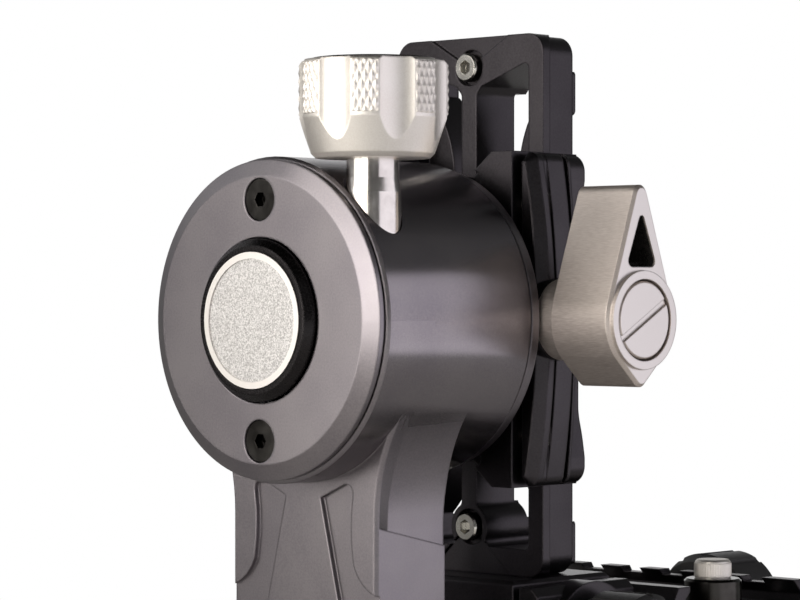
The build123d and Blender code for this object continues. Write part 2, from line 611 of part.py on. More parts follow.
def arm():
    neck_z0 = -(TILT_HEIGHT - FOOT_BOTTOM - CORNER_OUTER_R)
    neck = slab_yz(head_outline(NECK_HALF_WIDTH, NECK_BLEND_R, -neck_z0), X_NECK, X_NECK + NECK_THICK)
    long_edges = [neck.faces().sort_by(Axis.X)[0], neck.faces().sort_by(Axis.X)[-1]]
    for face in long_edges:
        rim = [e for e in face.edges() if e.center().Z < -20 and e.center().Z > neck_z0 + 1]
        neck = chamfer([e for e in neck.edges() if any(e.is_same(r) for r in rim)], NECK_CHAMFER)
    neck -= mirrored_y(slab_yz(front_panel(), X_NECK - 1, X_NECK + PANEL_DEPTH))
    neck -= side_recess()
    body = at_tilt_axis(neck)

    foot_top = FOOT_BOTTOM + FOOT_THICK
    corner = outline((X_NECK, FOOT_BOTTOM), (-BARREL_R, FOOT_BOTTOM), (-BARREL_R, foot_top),
                     (X_NECK + NECK_THICK, foot_top),
                     (X_NECK + NECK_THICK, foot_top + CORNER_INNER_R + 12),
                     (X_NECK, foot_top + CORNER_INNER_R + 12))
    corner = slab_xz(corner, -NECK_HALF_WIDTH, NECK_HALF_WIDTH)
    outer = corner.edges().filter_by(Axis.Y).sort_by(lambda e: e.center().X + e.center().Z)[0]
    corner = fillet(outer, CORNER_OUTER_R)
    inner = [e for e in corner.edges().filter_by(Axis.Y)
             if abs(e.center().X - X_NECK - NECK_THICK) < 0.1 and abs(e.center().Z - foot_top) < 0.1]
    corner = fillet(inner, CORNER_INNER_R)
    rims = [e for e in corner.edges() if abs(abs(e.center().Y) - NECK_HALF_WIDTH) < 0.01
            and e.length > 1 and -BARREL_R - 1 > e.center().X
            and e.center().Z < foot_top + CORNER_INNER_R + 11]
    corner = chamfer(rims, NECK_CHAMFER)
    body += corner

    hub = Plane(origin=(0, 0, FOOT_BOTTOM), x_dir=(0, 1, 0)) * head_outline(
        NECK_HALF_WIDTH, NECK_BLEND_R, -X_NECK - NECK_THICK - CORNER_INNER_R)
    hub = extrude(Rot(0, 0, 180) * hub, FOOT_THICK)
    hub_edges = [e for e in hub.edges() if abs(e.center().Z - foot_top) < 0.01 and e.center().X < -8
                 and e.center().X > X_NECK + NECK_THICK + CORNER_INNER_R + 0.5]
    body += chamfer(hub_edges, NECK_CHAMFER)
    for unit in (TILT, PAN):
        barrel = bar("Z", BARREL_R, 0, BARREL_LENGTH)
        body += unit * chamfer(barrel.edges(), BARREL_CHAMFER)
    for unit in (TILT, PAN):
        body -= unit * housing_cuts()
    hole_x = X_NECK + NECK_THICK / 2
    hole_z = TILT_HEIGHT - ACCESSORY_BELOW_AXIS
    body -= bar("Y", ACCESSORY_R, -NECK_HALF_WIDTH - 1, -NECK_HALF_WIDTH + ACCESSORY_DEPTH,
                (hole_x, hole_z))
    return body


# ---- Swing plate --------------------------------------------------------------------------------
def rail_section(thick):
    """Dovetail section: X across the thickness from the wide face, Y across the width."""
    w, n = RAIL_HALF_WIDTH, RAIL_NECK_HALF
    return outline((0, -w), (RAIL_EDGE, -w), (RAIL_EDGE + RAIL_FLANK, -n), (thick, -n),
                   (thick, n), (RAIL_EDGE + RAIL_FLANK, n), (RAIL_EDGE, w), (0, w))


def plate_window(side):
    """One window, in (Y, Z): its head slopes and its foot clears the lower screw's boss."""
    inner, outer = PLATE_RIB_HALF, RAIL_HALF_WIDTH - PLATE_BAR
    foot = PLATE_BOTTOM + WINDOW_BOTTOM
    face = outline((side * inner, STOP_TOP - 5.2), (side * (inner + 1.2), STOP_TOP - 3.7),
                   (side * outer, PLATE_TOP - WINDOW_TOP), (side * outer, foot), (side * inner, foot))
    face -= Pos(0, STOP_BOTTOM) * Circle(PLATE_BOSS_R)
    return fillet(face.vertices(), WINDOW_CORNER_R)


def stop_facet(screw, end):
    """Shallow funnel in the plate's face from its end to a stop screw, in (Y, Z)."""
    sign = 1 if end > screw else -1
    return outline((FACET_HALF, end + sign), (-FACET_HALF, end + sign), (-2.2, screw + sign * 1.2),
                   (2.2, screw + sign * 1.2))


def swing_plate():
    height = PLATE_TOP - PLATE_BOTTOM
    back = X_PLATE + PLATE_THICK
    rail = extrude(Plane(origin=(X_PLATE, 0, PLATE_BOTTOM)) * rail_section(PLATE_THICK), height)
    wide = Pos(0, PLATE_MID) * RectangleRounded(2 * RAIL_HALF_WIDTH, height, PLATE_CORNER_R)
    narrow = Pos(0, PLATE_MID) * RectangleRounded(2 * RAIL_NECK_HALF, height, PLATE_CORNER_R)
    plate = rail & (slab_yz(wide, X_PLATE, X_PLATE_REAR) + slab_yz(narrow, X_PLATE_REAR, back))
    for low in (REAR_PAD_TOP - REAR_PAD_LENGTH, REAR_PAD_BOTTOM):
        pad = block((back - 0.5, back + REAR_PAD), (-REAR_PAD_HALF, REAR_PAD_HALF),
                    (low, low + REAR_PAD_LENGTH))
        pad = fillet(pad.edges().filter_by(Axis.X), REAR_PAD_CORNER_R)
        plate += chamfer(pad.faces().sort_by(Axis.X)[-1].edges(), 0.5)
    gusset_y = GUSSET_REACH + GUSSET_R
    gusset_z = height / 2 - GUSSET_FROM_END
    for side in (-1, 1):
        window = plate_window(side)
        crescents = Pos(side * gusset_y, PLATE_MID + gusset_z) * Circle(GUSSET_R)
        crescents += Pos(side * gusset_y, PLATE_MID - gusset_z) * Circle(GUSSET_R)
        plate -= slab_yz(window, X_PLATE - 1, X_PLATE_REAR)
        plate -= slab_yz(window - crescents, X_PLATE_REAR - 0.01, back + REAR_PAD + 1)
    plate -= block((back - PLATE_RIB_SUNK, back + REAR_PAD + 1), (-GUSSET_REACH + 1, GUSSET_REACH - 1),
                   (STOP_BOTTOM + PLATE_BOSS_R, STOP_TOP - PLATE_BOSS_R))
    for screw, end in ((STOP_TOP, PLATE_TOP), (STOP_BOTTOM, PLATE_BOTTOM)):
        plate -= slab_yz(stop_facet(screw, end), X_PLATE - 1, X_PLATE + FACET_DEPTH)
        plate -= bar("X", STOP_SCREW_R + 0.75, X_PLATE - 1, X_PLATE + STOP_SCREW_SEAT, (0, screw))
        plate -= bar("X", STOP_SCREW_SHANK_R + THREAD_FIT, X_PLATE, X_PLATE + STOP_SCREW_LENGTH + 1,
                     (0, screw))
    for y in PLATFORM_SCREW_Y:
        plate -= bar("Z", SOCKET_SCREW_R, PLATE_BOTTOM - 1, PLATE_BOTTOM + PLATFORM_SCREW_GRIP + 0.3,
                     (X_PLATE_MID, y))
    return at_tilt_axis(plate)


def stop_screws():
    """Two socket screws whose heads stand proud of the plate and stop it in the clamp."""
    top, seat = X_PLATE - STOP_SCREW_PROUD, X_PLATE + STOP_SCREW_SEAT
    radii = (STOP_SCREW_R, STOP_SCREW_SHANK_R)
    screws = []
    for place in (STOP_TOP, STOP_BOTTOM):
        screw = socket_screw("X", (0, place), (top, seat), (seat, X_PLATE + STOP_SCREW_LENGTH), HEX_KEY, radii)
        rim = screw.edges().filter_by(GeomType.CIRCLE).sort_by(Axis.X)[0]
        screws.append(at_tilt_axis(chamfer(rim, 0.35)))
    return screws


# ---- Upper clamp --------------------------------------------------------------------------------
def dovetail_room(play):
    """Section of the space that a rail takes in a clamp, in (depth, width)."""
    w, n = RAIL_HALF_WIDTH + play, RAIL_NECK_HALF + play
    return outline((0, -w), (RAIL_EDGE + play / 2, -w), (RAIL_EDGE + RAIL_FLANK + play / 2, -n), (30, -n),
                   (30, n), (RAIL_EDGE + RAIL_FLANK + play / 2, n), (RAIL_EDGE + play / 2, w), (0, w))


def clamp_body():
    half, ear, waist, near = CLAMP_HALF_HEIGHT, CLAMP_EAR_Y, CLAMP_WAIST_Y, CLAMP_NEAR_Y
    far = RAIL_HALF_WIDTH + CLAMP_FAR_WALL
    bevel = CLAMP_FAR_BEVEL
    bow = outline((-near, -half), (-ear, -half), (-waist, -CLAMP_WAIST_HALF), (waist, -CLAMP_WAIST_HALF),
                  (ear, -half), (far - bevel, -half), (far, bevel - half), (far, half - bevel),
                  (far - bevel, half), (ear, half), (waist, CLAMP_WAIST_HALF), (-waist, CLAMP_WAIST_HALF),
                  (-ear, half), (-near, half))
    body = slab_yz(bow, X_CLAMP, X_PLATE)
    hook = block((X_CLAMP + 1, X_PLATE + RAIL_EDGE + RAIL_FLANK + 1.7), (RAIL_NECK_HALF - 2, far),
                 (-half, half))
    body += chamfer(hook.edges().filter_by(Axis.X).sort_by(Axis.Y)[-2:], bevel)
    room = Plane(origin=(X_PLATE, 0, -half - 1)) * dovetail_room(SLIDE_FIT)
    body -= extrude(room, 2 * half + 2)
    stud_end = CLAMP_STUD_ENGAGEMENT - near
    body -= bar("Y", STUD_R + RUNNING_FIT, -near - 1, stud_end + 2, (X_STUD, 0))
    for side in (-1, 1):
        guide = JAW_INNER - GUIDE_DEPTH + GUIDE_LENGTH
        body -= bar("Y", GUIDE_R + RUNNING_FIT, -near - 1, guide + 2, (X_STUD, side * GUIDE_Z))
        body -= bar("X", DIMPLE_R, X_CLAMP - 1, X_CLAMP + DIMPLE_DEPTH, (DIMPLE_Y, side * DIMPLE_Z))
        for row in (-1, 1):
            at = (row * MOUNT_SCREW_Y, side * MOUNT_SCREW_Z)
            body -= bar("X", MOUNT_SCREW_R + 0.1, X_CLAMP - 1, X_PLATE + 1, at)
            body -= bar("X", MOUNT_SCREW_HEAD_R + 0.2, X_PLATE - MOUNT_SCREW_HEAD - 0.3, X_PLATE + 1, at)
    return at_tilt_axis(body)


def bowed_slab(x0, x1, at_ends, at_middle):
    """Jaw slab: flat inner side, outer side one shallow arc, outer corners rounded as far as they allow."""
    half, end_y, middle_y = JAW_HALF_HEIGHT, JAW_INNER - at_ends, JAW_INNER - at_middle
    line = Polyline((end_y, -half), (JAW_INNER, -half), (JAW_INNER, half), (end_y, half))
    face = make_face(line + ThreePointArc((end_y, half), (middle_y, 0), (end_y, -half)))
    face = fillet(face.vertices().sort_by(Axis.X)[:2], 0.95 * at_ends)
    return slab_yz(face, x0, x1)


def jaw_hook(half):
    """Outline of the jaw's rear block in (Y, Z): swollen at its two ends, hollow along its middle."""
    end_y, middle_y = JAW_INNER - JAW_REAR_END, JAW_INNER - JAW_REAR_MIDDLE
    corner, swell, hollow = half - JAW_REAR_CORNER, half - JAW_REAR_CORNER - 1.6, 0.53 * half
    side = Spline((end_y, swell), (0.5 * (end_y + middle_y), 0.5 * (swell + hollow)), (middle_y, hollow),
                  tangents=((0.15, -1), (0, -1)))
    inner_y = end_y + JAW_REAR_CORNER + 0.5
    top = Line((inner_y, half), (end_y + JAW_REAR_CORNER, half))
    inset = JAW_REAR_CORNER * (1 - cos(radians(45)))
    round_top = ThreePointArc((end_y + JAW_REAR_CORNER, half), (end_y + inset, half - inset), (end_y, corner))
    upper = top + round_top + Line((end_y, corner), (end_y, swell)) + side
    lower = mirror(upper, about=Plane.XZ)
    return make_face(upper + lower + Line((middle_y, hollow), (middle_y, -hollow))
                     + Line((inner_y, -half), (inner_y, half)))


def clamp_jaw():
    """Moving jaw: bowed steps, a rear block that hooks over the dovetail, and the knob's seat."""
    x0 = X_PLATE - JAW_FRONT
    half = JAW_HALF_HEIGHT
    jaw = Part()
    for start, end, at_ends, at_middle in JAW_STEPS:
        jaw += bowed_slab(x0 + start, x0 + end, at_ends, at_middle)
    front = jaw.faces().sort_by(Axis.X)[0]
    outer = front.edges().filter_by(lambda edge: edge.center().Y < JAW_INNER - 0.1)
    jaw = chamfer(outer, JAW_BEVEL)
    jaw += slab_yz(jaw_hook(half), x0 + JAW_STEPS[-1][1], x0 + JAW_DEPTH)
    jaw += block((X_PLATE + 0.3, x0 + JAW_DEPTH), (JAW_INNER - 0.5, 2 - RAIL_NECK_HALF), (-half, half))
    room = Plane(origin=(X_PLATE, 0, -half - 1)) * dovetail_room(SLIDE_FIT)
    jaw -= extrude(room, 2 * half + 2)
    seat = JAW_OUTER - WING_SEAT
    boss = bar("Y", WING_HUB_R, seat, JAW_OUTER + 3.2, (X_STUD, 0))
    jaw += boss - block((x0 - 10, x0 + 0.2), (JAW_OUTER + 2.2, JAW_OUTER + 4), (-10, 10))
    jaw -= bar("Y", STUD_R + RUNNING_FIT, seat - 1, JAW_INNER + 1, (X_STUD, 0))
    for side in (-1, 1):
        jaw -= bar("Y", GUIDE_R, JAW_INNER - GUIDE_DEPTH, JAW_INNER + 1, (X_STUD, side * GUIDE_Z))
    return at_tilt_axis(jaw)


def guide_pins():
    """Two pins fixed in the jaw that slide in the clamp's body."""
    start = JAW_INNER - GUIDE_DEPTH
    return [at_tilt_axis(bar("Y", GUIDE_R, start, start + GUIDE_LENGTH, (X_STUD, side * GUIDE_Z)))
            for side in (-1, 1)]


def wing_outline():
    """Hull of the round middle, the long wing's tip and the short stub, in (X, Z)."""
    middle = Circle(WING_R).edges()
    tip = Pos(0, WING_TOP - WING_TIP_R) * Circle(WING_TIP_R)
    stub = Pos(0, WING_TIP_R - WING_STUB) * Circle(WING_TIP_R)
    return make_hull(middle + tip.edges()) + make_hull(middle + stub.edges())


def wing_window():
    """Pointed window in the long wing, in (X, Z)."""
    top = Pos(0, WING_WINDOW_TOP) * Circle(WING_WINDOW_TOP_R)
    left = Pos(-WING_WINDOW_HALF, WING_WINDOW_FOOT) * Circle(WING_WINDOW_FOOT_R)
    right = Pos(WING_WINDOW_HALF, WING_WINDOW_FOOT) * Circle(WING_WINDOW_FOOT_R)
    return make_hull(top.edges() + left.edges() + right.edges())


def wing_knob():
    """Wing knob about -Y, its slotted cap screw and its stud."""
    back = JAW_OUTER - WING_SEAT - WING_HUB_GAP
    wing_back = back - WING_HUB_LENGTH
    wing_face = wing_back - WING_THICK
    top = wing_face - WING_FACE_PROUD
    cap_floor = wing_face + WING_CAP_DEPTH
    knob = slab_xz(wing_outline(), wing_face, wing_back)
    knob = chamfer(knob.faces().sort_by(Axis.Y)[0].edges(), 0.6)
    knob -= slab_xz(wing_window(), wing_face - 1, wing_back + 1)
    knob += bar("Y", WING_FACE_R, top, wing_face + 1)
    knob += bar("Y", WING_HUB_R, wing_back - 0.5, back)
    knob -= bar("Y", WING_CAP_R + WING_CAP_PLAY, top - 1, cap_floor)
    knob -= bar("Y", STUD_R, cap_floor - 1, back + 1)
    cap = bar("Y", WING_CAP_R, top + 0.1, cap_floor)
    cap = chamfer(cap.edges().sort_by(Axis.Y)[0], 0.3)
    slot = block((-WING_R, WING_R), (top - 1, top + 0.1 + WING_SLOT_DEPTH), (-WING_SLOT / 2, WING_SLOT / 2))
    cap -= Rot(0, -WING_SLOT_ANGLE, 0) * slot
    stud = bar("Y", STUD_R - THREAD_FIT / 2, cap_floor, CLAMP_STUD_ENGAGEMENT - CLAMP_NEAR_Y)
    place = Pos(X_STUD, 0, TILT_HEIGHT)
    return place * knob, place * cap, place * stud


# ---- Lower clamp and cross rail -----------------------------------------------------------------
def below_rail_room(x0, x1, play):
    """Dovetail space that opens downwards from the lower clamp, along X."""
    plane = Plane(origin=(x0, 0, LOWER_BOTTOM), x_dir=(0, 0, -1), z_dir=(1, 0, 0))
    return extrude(plane * dovetail_room(play), x1 - x0)


def lower_clamp_body():
    x0, x1 = LOWER_X
    far = RAIL_HALF_WIDTH + CLAMP_FAR_WALL
    body = block((x0, x1), (-LOWER_NEAR_Y, far), (LOWER_BOTTOM, LOWER_TOP))
    body += block((x0, x1), (RAIL_NECK_HALF - 2, far), (LOWER_BOTTOM - LOWER_HOOK, LOWER_BOTTOM + 1))
    body = chamfer(body.edges().filter_by(Axis.X).sort_by(Axis.Y)[-2:], 2)
    body = chamfer(body.faces().sort_by(Axis.Z)[-1].edges(), 0.8)
    body -= below_rail_room(x0 - 1, x1 + 1, SLIDE_FIT)
    stud_end = LOWER_STUD_ENGAGEMENT - LOWER_NEAR_Y
    body -= bar("Y", STUD_R + RUNNING_FIT, -LOWER_NEAR_Y - 1, stud_end + 0.5, (X_PLATE_MID, LOWER_STUD_Z))
    for y in PLATFORM_SCREW_Y:
        body -= bar("Z", SOCKET_SCREW_R + 0.1, LOWER_BOTTOM, LOWER_TOP + 1, (X_PLATE_MID, y))
        body -= bar("Z", SOCKET_HEAD_R + 0.2, LOWER_BOTTOM - 1, LOWER_BOTTOM + SOCKET_HEAD + 0.2,
                    (X_PLATE_MID, y))
    guide_end = LOWER_JAW_INNER - GUIDE_DEPTH + LOWER_GUIDE_LENGTH
    for side in (-1, 1):
        at = (X_PLATE_MID + side * LOWER_GUIDE_X, LOWER_STUD_Z)
        body -= bar("Y", GUIDE_R + RUNNING_FIT, -LOWER_NEAR_Y - 1, guide_end + 1, at)
    return at_tilt_axis(body)


def lower_clamp_jaw():
    x0, x1 = LOWER_X
    bottom = LOWER_BOTTOM - LOWER_HOOK
    jaw = block((x0, x1), (LOWER_JAW_OUTER, LOWER_JAW_INNER), (bottom, LOWER_TOP - 1))
    jaw += block((x0, x1), (LOWER_JAW_OUTER, 2 - RAIL_NECK_HALF), (bottom, LOWER_BOTTOM - 0.3))
    jaw = chamfer(jaw.edges().filter_by(Axis.X).sort_by(Axis.Y)[:2], 1.6)
    jaw -= below_rail_room(x0 - 1, x1 + 1, SLIDE_FIT)
    boss = LOWER_JAW_OUTER - ROUND_BOSS
    jaw += bar("Y", ROUND_BOSS_R, boss, LOWER_JAW_INNER - 1, (X_PLATE_MID, LOWER_STUD_Z))
    jaw -= bar("Y", STUD_R + RUNNING_FIT, boss - 1, LOWER_JAW_INNER + 1, (X_PLATE_MID, LOWER_STUD_Z))
    for side in (-1, 1):
        at = (X_PLATE_MID + side * LOWER_GUIDE_X, LOWER_STUD_Z)
        jaw -= bar("Y", GUIDE_R, LOWER_JAW_INNER - GUIDE_DEPTH, LOWER_JAW_INNER + 1, at)
    return at_tilt_axis(jaw)


def lower_guide_pins():
    start = LOWER_JAW_INNER - GUIDE_DEPTH
    return [at_tilt_axis(bar("Y", GUIDE_R, start, start + LOWER_GUIDE_LENGTH,
                             (X_PLATE_MID + side * LOWER_GUIDE_X, LOWER_STUD_Z))) for side in (-1, 1)]


def platform_screws():
    """Screws from inside the dovetail room, through the lower clamp into the foot of the swing plate."""
    seat = LOWER_BOTTOM + SOCKET_HEAD + 0.2
    return [at_tilt_axis(socket_screw("Z", (X_PLATE_MID, y), (seat - SOCKET_HEAD, seat),
                                      (seat, PLATE_BOTTOM + PLATFORM_SCREW_GRIP))) for y in PLATFORM_SCREW_Y]


def round_knob(radius, length):
    """Grooved knob about Z from its seat at 0 to its dished face, with a bore for its stud."""
    neck_r, rim_r = radius - ROUND_KNOB_STEP, radius - 2 * ROUND_KNOB_STEP
    dish = length - ROUND_KNOB_DISH
    knob = turned((0, 0), (neck_r, 0), (neck_r, 2), (radius, 3), (radius, length - 1), (radius - 1, length),
                  (rim_r, length), (rim_r - ROUND_KNOB_DISH, dish), (0, dish))
    groove = bar("Z", ROUND_KNOB_GROOVE_R, 2.5, length + 1, (radius + ROUND_KNOB_GROOVE_R / 3, 0))
    for place in PolarLocations(0, ROUND_KNOB_GROOVES):
        knob -= place * groove
    return knob - bar("Z", STUD_R, -1, length / 2)


def knob_stud(length, inside):
    """Stud about Z that runs from the knob's bore, at inside, back through its seat for a length."""
    return bar("Z", STUD_R - THREAD_FIT / 2, -length, inside)


def cross_rail():
    section = Plane(origin=(CROSS_RAIL_START, 0, LOWER_BOTTOM), x_dir=(0, 0, -1), z_dir=(1, 0, 0))
    rail = extrude(section * rail_section(CROSS_RAIL_THICK), CROSS_RAIL_END - CROSS_RAIL_START)
    rail = chamfer(rail.edges().filter_by(Axis.Z), 1.0)
    through = (LOWER_BOTTOM - CROSS_RAIL_THICK - 1, LOWER_BOTTOM + 1)
    slot_x = -LENS_HALF_FOOT - CROSS_SLOT_FROM_LENS - CROSS_SLOT[0] / 2
    rail -= slab_xy(Pos(slot_x, 0) * SlotOverall(*CROSS_SLOT), *through)
    for at in rail_screw_places():
        rail -= bar("Z", SOCKET_SCREW_R + 0.1, *through, at)
        rail -= bar("Z", SOCKET_HEAD_R + 0.2, through[0], LOWER_BOTTOM - CROSS_SCREW_GRIP, at)
    return at_tilt_axis(rail)


def rail_screw_places():
    return [(x, y) for x in (-CROSS_SCREW_X, CROSS_SCREW_X) for y in (-CROSS_SCREW_Y, CROSS_SCREW_Y)]


def rail_screws():
    """Screws from under the cross rail into the lens clamp."""
    seat = LOWER_BOTTOM - CROSS_SCREW_GRIP
    return [at_tilt_axis(socket_screw("Z", at, (seat - SOCKET_HEAD, seat), (seat, LOWER_BOTTOM + 6)))
            for at in rail_screw_places()]


def lens_clamp_body():
    """Floor and fixed jaw of the lens clamp; its dovetail runs along Y."""
    top = LENS_TOP + LENS_FIXED_LIP
    section = outline((-LENS_HALF_FOOT, LOWER_BOTTOM), (LENS_BODY_END, LOWER_BOTTOM),
                      (LENS_BODY_END, LENS_FLOOR),
                      (-LENS_WIDE, LENS_FLOOR), (-LENS_WIDE, LENS_TOP - RAIL_FLANK), (-LENS_NECK, LENS_TOP),
                      (-LENS_NECK, top), (-LENS_HALF_WIDTH, top), (-LENS_HALF_FOOT, LENS_FLOOR))
    body = slab_xz(section, -LENS_HALF_LENGTH, LENS_HALF_LENGTH)
    foot_corners = [e for e in body.edges().filter_by(Axis.Z) if e.center().X < 0.1 - LENS_HALF_FOOT]
    body = chamfer(foot_corners, LENS_CORNER)
    body -= bar("X", STUD_R + RUNNING_FIT, LENS_STUD_END - 1, LENS_BODY_END + 1, (0, LENS_STUD_Z))
    guide_end = LENS_JAW_INNER + GUIDE_DEPTH - LENS_GUIDE_LENGTH
    for side in (-1, 1):
        body -= bar("X", GUIDE_R + RUNNING_FIT, guide_end - 1, LENS_BODY_END + 1,
                    (side * LENS_GUIDE_Y, LENS_STUD_Z))
    for at in rail_screw_places():
        body -= bar("Z", SOCKET_SCREW_R, LOWER_BOTTOM - 1, LOWER_BOTTOM + 6.5, at)
    body -= bar("Z", POST_THREAD_R + THREAD_FIT, LENS_FLOOR - POST_THREAD - 0.5, LENS_FLOOR + 1,
                (0, POST_Y))
    return at_tilt_axis(body)


def lens_clamp_jaw():
    """Moving jaw of the lens clamp, with a row of teeth along its top."""
    foot = LOWER_BOTTOM + 0.5
    section = outline((LENS_JAW_INNER, foot), (LENS_HALF_FOOT, foot), (LENS_HALF_FOOT, LENS_FLOOR),
                      (LENS_HALF_WIDTH, LENS_TOP), (LENS_NECK, LENS_TOP), (LENS_WIDE, LENS_TOP - RAIL_FLANK),
                      (LENS_WIDE, LENS_FLOOR), (LENS_JAW_INNER, LENS_FLOOR))
    jaw = slab_xz(section, -LENS_HALF_LENGTH, LENS_HALF_LENGTH)
    gap = (TOOTH_PITCH - TOOTH) / 2
    notch = block((0, LENS_HALF_FOOT), (-gap, gap), (LENS_TOP - TOOTH_HEIGHT, LENS_TOP + 1))
    for index in range(TOOTH_GAPS):
        jaw -= Pos(0, (index - (TOOTH_GAPS - 1) / 2) * TOOTH_PITCH, 0) * notch
    boss_end = LENS_HALF_FOOT + LENS_BOSS
    boss = bar("X", LENS_BOSS_R, LENS_HALF_FOOT - 2, boss_end, (0, LENS_STUD_Z))
    jaw += boss & block((0, boss_end + 1), (-LENS_BOSS_R, LENS_BOSS_R), (foot, LENS_FLOOR))
    jaw -= bar("X", STUD_R + RUNNING_FIT, LENS_JAW_INNER - 1, boss_end + 1, (0, LENS_STUD_Z))
    for side in (-1, 1):
        at = (side * LENS_GUIDE_Y, LENS_STUD_Z)
        jaw -= bar("X", GUIDE_R, LENS_JAW_INNER - 1, LENS_JAW_INNER + GUIDE_DEPTH, at)
    return at_tilt_axis(jaw)


def lens_guide_pins():
    end = LENS_JAW_INNER + GUIDE_DEPTH
    return [at_tilt_axis(bar("X", GUIDE_R, end - LENS_GUIDE_LENGTH, end, (side * LENS_GUIDE_Y, LENS_STUD_Z)))
            for side in (-1, 1)]


def lens_stop():
    """Stop screw at the near end of the lens clamp, and the collar it stands on."""
    collar_top = LENS_FLOOR + POST_COLLAR
    collar = bar("Z", POST_COLLAR_R, LENS_FLOOR, collar_top, (0, POST_Y))
    collar = chamfer(collar.edges().sort_by(Axis.Z)[-1], 0.5)
    collar -= bar("Z", POST_THREAD_R + THREAD_FIT, LENS_FLOOR - 1, collar_top + 1, (0, POST_Y))
    head = bar("Z", POST_HEAD_R, collar_top, collar_top + POST_HEAD, (0, POST_Y))
    head = chamfer(head.edges().sort_by(Axis.Z)[-1], 0.4)
    screw = head + bar("Z", POST_THREAD_R, LENS_FLOOR - POST_THREAD, collar_top + 1, (0, POST_Y))
    return at_tilt_axis(screw), at_tilt_axis(collar)


# ---- Pan base -----------------------------------------------------------------------------------
def pan_base():
    """Turned base: mounting disc, thread socket seat and the pan spindle in one piece."""
    top = Z_HUB_TOP - FLANGE_START
    disc = turned((0, 0), (BASE_R - BASE_FOOT_CHAMFER, 0), (BASE_R, BASE_FOOT_CHAMFER),
                  (BASE_R, top - BASE_EDGE_CHAMFER), (BASE_R - BASE_EDGE_CHAMFER, top), (0, top))
    base = PAN * spindle_shaft(FLANGE_START + 1) + disc
    base -= bar("Z", SOCKET_BUSH_R, -1, SOCKET_DEPTH + SOCKET_BUSH_END)
    outer_r, inner_r, depth = BASE_GROOVE
    return base - tube(outer_r, inner_r, -1, depth)


def socket_bush():
    return bar("Z", SOCKET_BUSH_R, 0, SOCKET_DEPTH + SOCKET_BUSH_END) - bar("Z", SOCKET_R, -1, SOCKET_DEPTH)


def bubble_level():
    """Metal ring and domed vial of the round level, in the pan unit's frame."""
    floor = CAP_FACE + LEVEL_DEPTH
    top = CAP_FACE - LEVEL_PROUD
    ring = tube(LEVEL_R, LEVEL_VIAL_R, top, floor)
    ring = chamfer(ring.faces().sort_by(Axis.Z)[0].outer_wire().edges(), 0.3)
    vial = turned((0, top - 0.2), (LEVEL_VIAL_R - 2.5, top), (LEVEL_VIAL_R, top + 0.5), (LEVEL_VIAL_R, floor),
                  (0, floor))
    return ring, vial


def tilt_cover():
    return TILT * (cap_disc() - bar("Z", CAP_HOLE_R, CAP_FACE - 1, 1))


def pan_cover():
    return PAN * (cap_disc() - bar("Z", LEVEL_R, CAP_FACE - 1, CAP_FACE + LEVEL_DEPTH))


# ---- Tilt spindle -------------------------------------------------------------------------------
def mount_screw_places():
    return [(row * MOUNT_SCREW_Y, side * MOUNT_SCREW_Z) for row in (-1, 1) for side in (-1, 1)]


def tilt_spindle():
    """Spindle with the thin flange beside the barrel and the boss that carries the upper clamp."""
    flange_end = FLANGE_START + FLANGE_THICK
    boss_end = flange_end + FLANGE_BOSS
    spindle = spindle_shaft(FLANGE_START + 1) + bar("Z", FLANGE_R, FLANGE_START, flange_end)
    spindle += bar("Z", FLANGE_BOSS_R, FLANGE_START, boss_end)
    spindle -= bar("Z", HUB_SCREW_R, -1, 14)
    for at in mount_screw_places():
        spindle -= bar("Z", MOUNT_SCREW_R, boss_end - MOUNT_SCREW_GRIP, boss_end + 1, at)
    return TILT * spindle


def hub_end_cap():
    """Cap on the spindle's end that turns in the middle of the arm's cover."""
    face = CAP_FACE - HUB_PROUD
    hub = turned((0, face), (HUB_R - HUB_EDGE, face), (HUB_R, face + HUB_EDGE), (HUB_R, 0), (0, 0))
    hub += bar("Z", SPINDLE_R, -1, SPINDLE_NOSE)
    hub -= bar("Z", DISC_R + 0.1, face - 1, face + DISC_THICK)
    hub -= bar("Z", HUB_SCREW_HEAD_R + 0.2, face - 1, face + DISC_THICK + HUB_SCREW_HEAD)
    return TILT * (hub - bar("Z", HUB_SCREW_R + 0.1, face, SPINDLE_NOSE + 1))


def hub_disc():
    """Bare metal disc with a raised rim, let into the end cap."""
    face = CAP_FACE - HUB_PROUD - DISC_PROUD
    disc = bar("Z", DISC_R, face, face + DISC_PROUD + DISC_THICK)
    return TILT * (disc - bar("Z", DISC_R - DISC_RIM, face - 1, face + DISC_SUNK))


def hub_screw():
    head = CAP_FACE - HUB_PROUD + DISC_THICK
    seat = head + HUB_SCREW_HEAD
    return TILT * socket_screw("Z", (0, 0), (head, seat), (seat, 13), HEX_KEY,
                               (HUB_SCREW_HEAD_R, HUB_SCREW_R - THREAD_FIT))


def mount_screws():
    """Four screws that hold the upper clamp to the spindle's boss, heads under the swing plate."""
    seat = X_PLATE - MOUNT_SCREW_HEAD - 0.3
    radii = (MOUNT_SCREW_HEAD_R, MOUNT_SCREW_R - THREAD_FIT)
    return [at_tilt_axis(socket_screw("X", at, (seat + MOUNT_SCREW_HEAD, seat), (X_CLAMP - 4, seat),
                                      SOCKET_KEY, radii)) for at in mount_screw_places()]


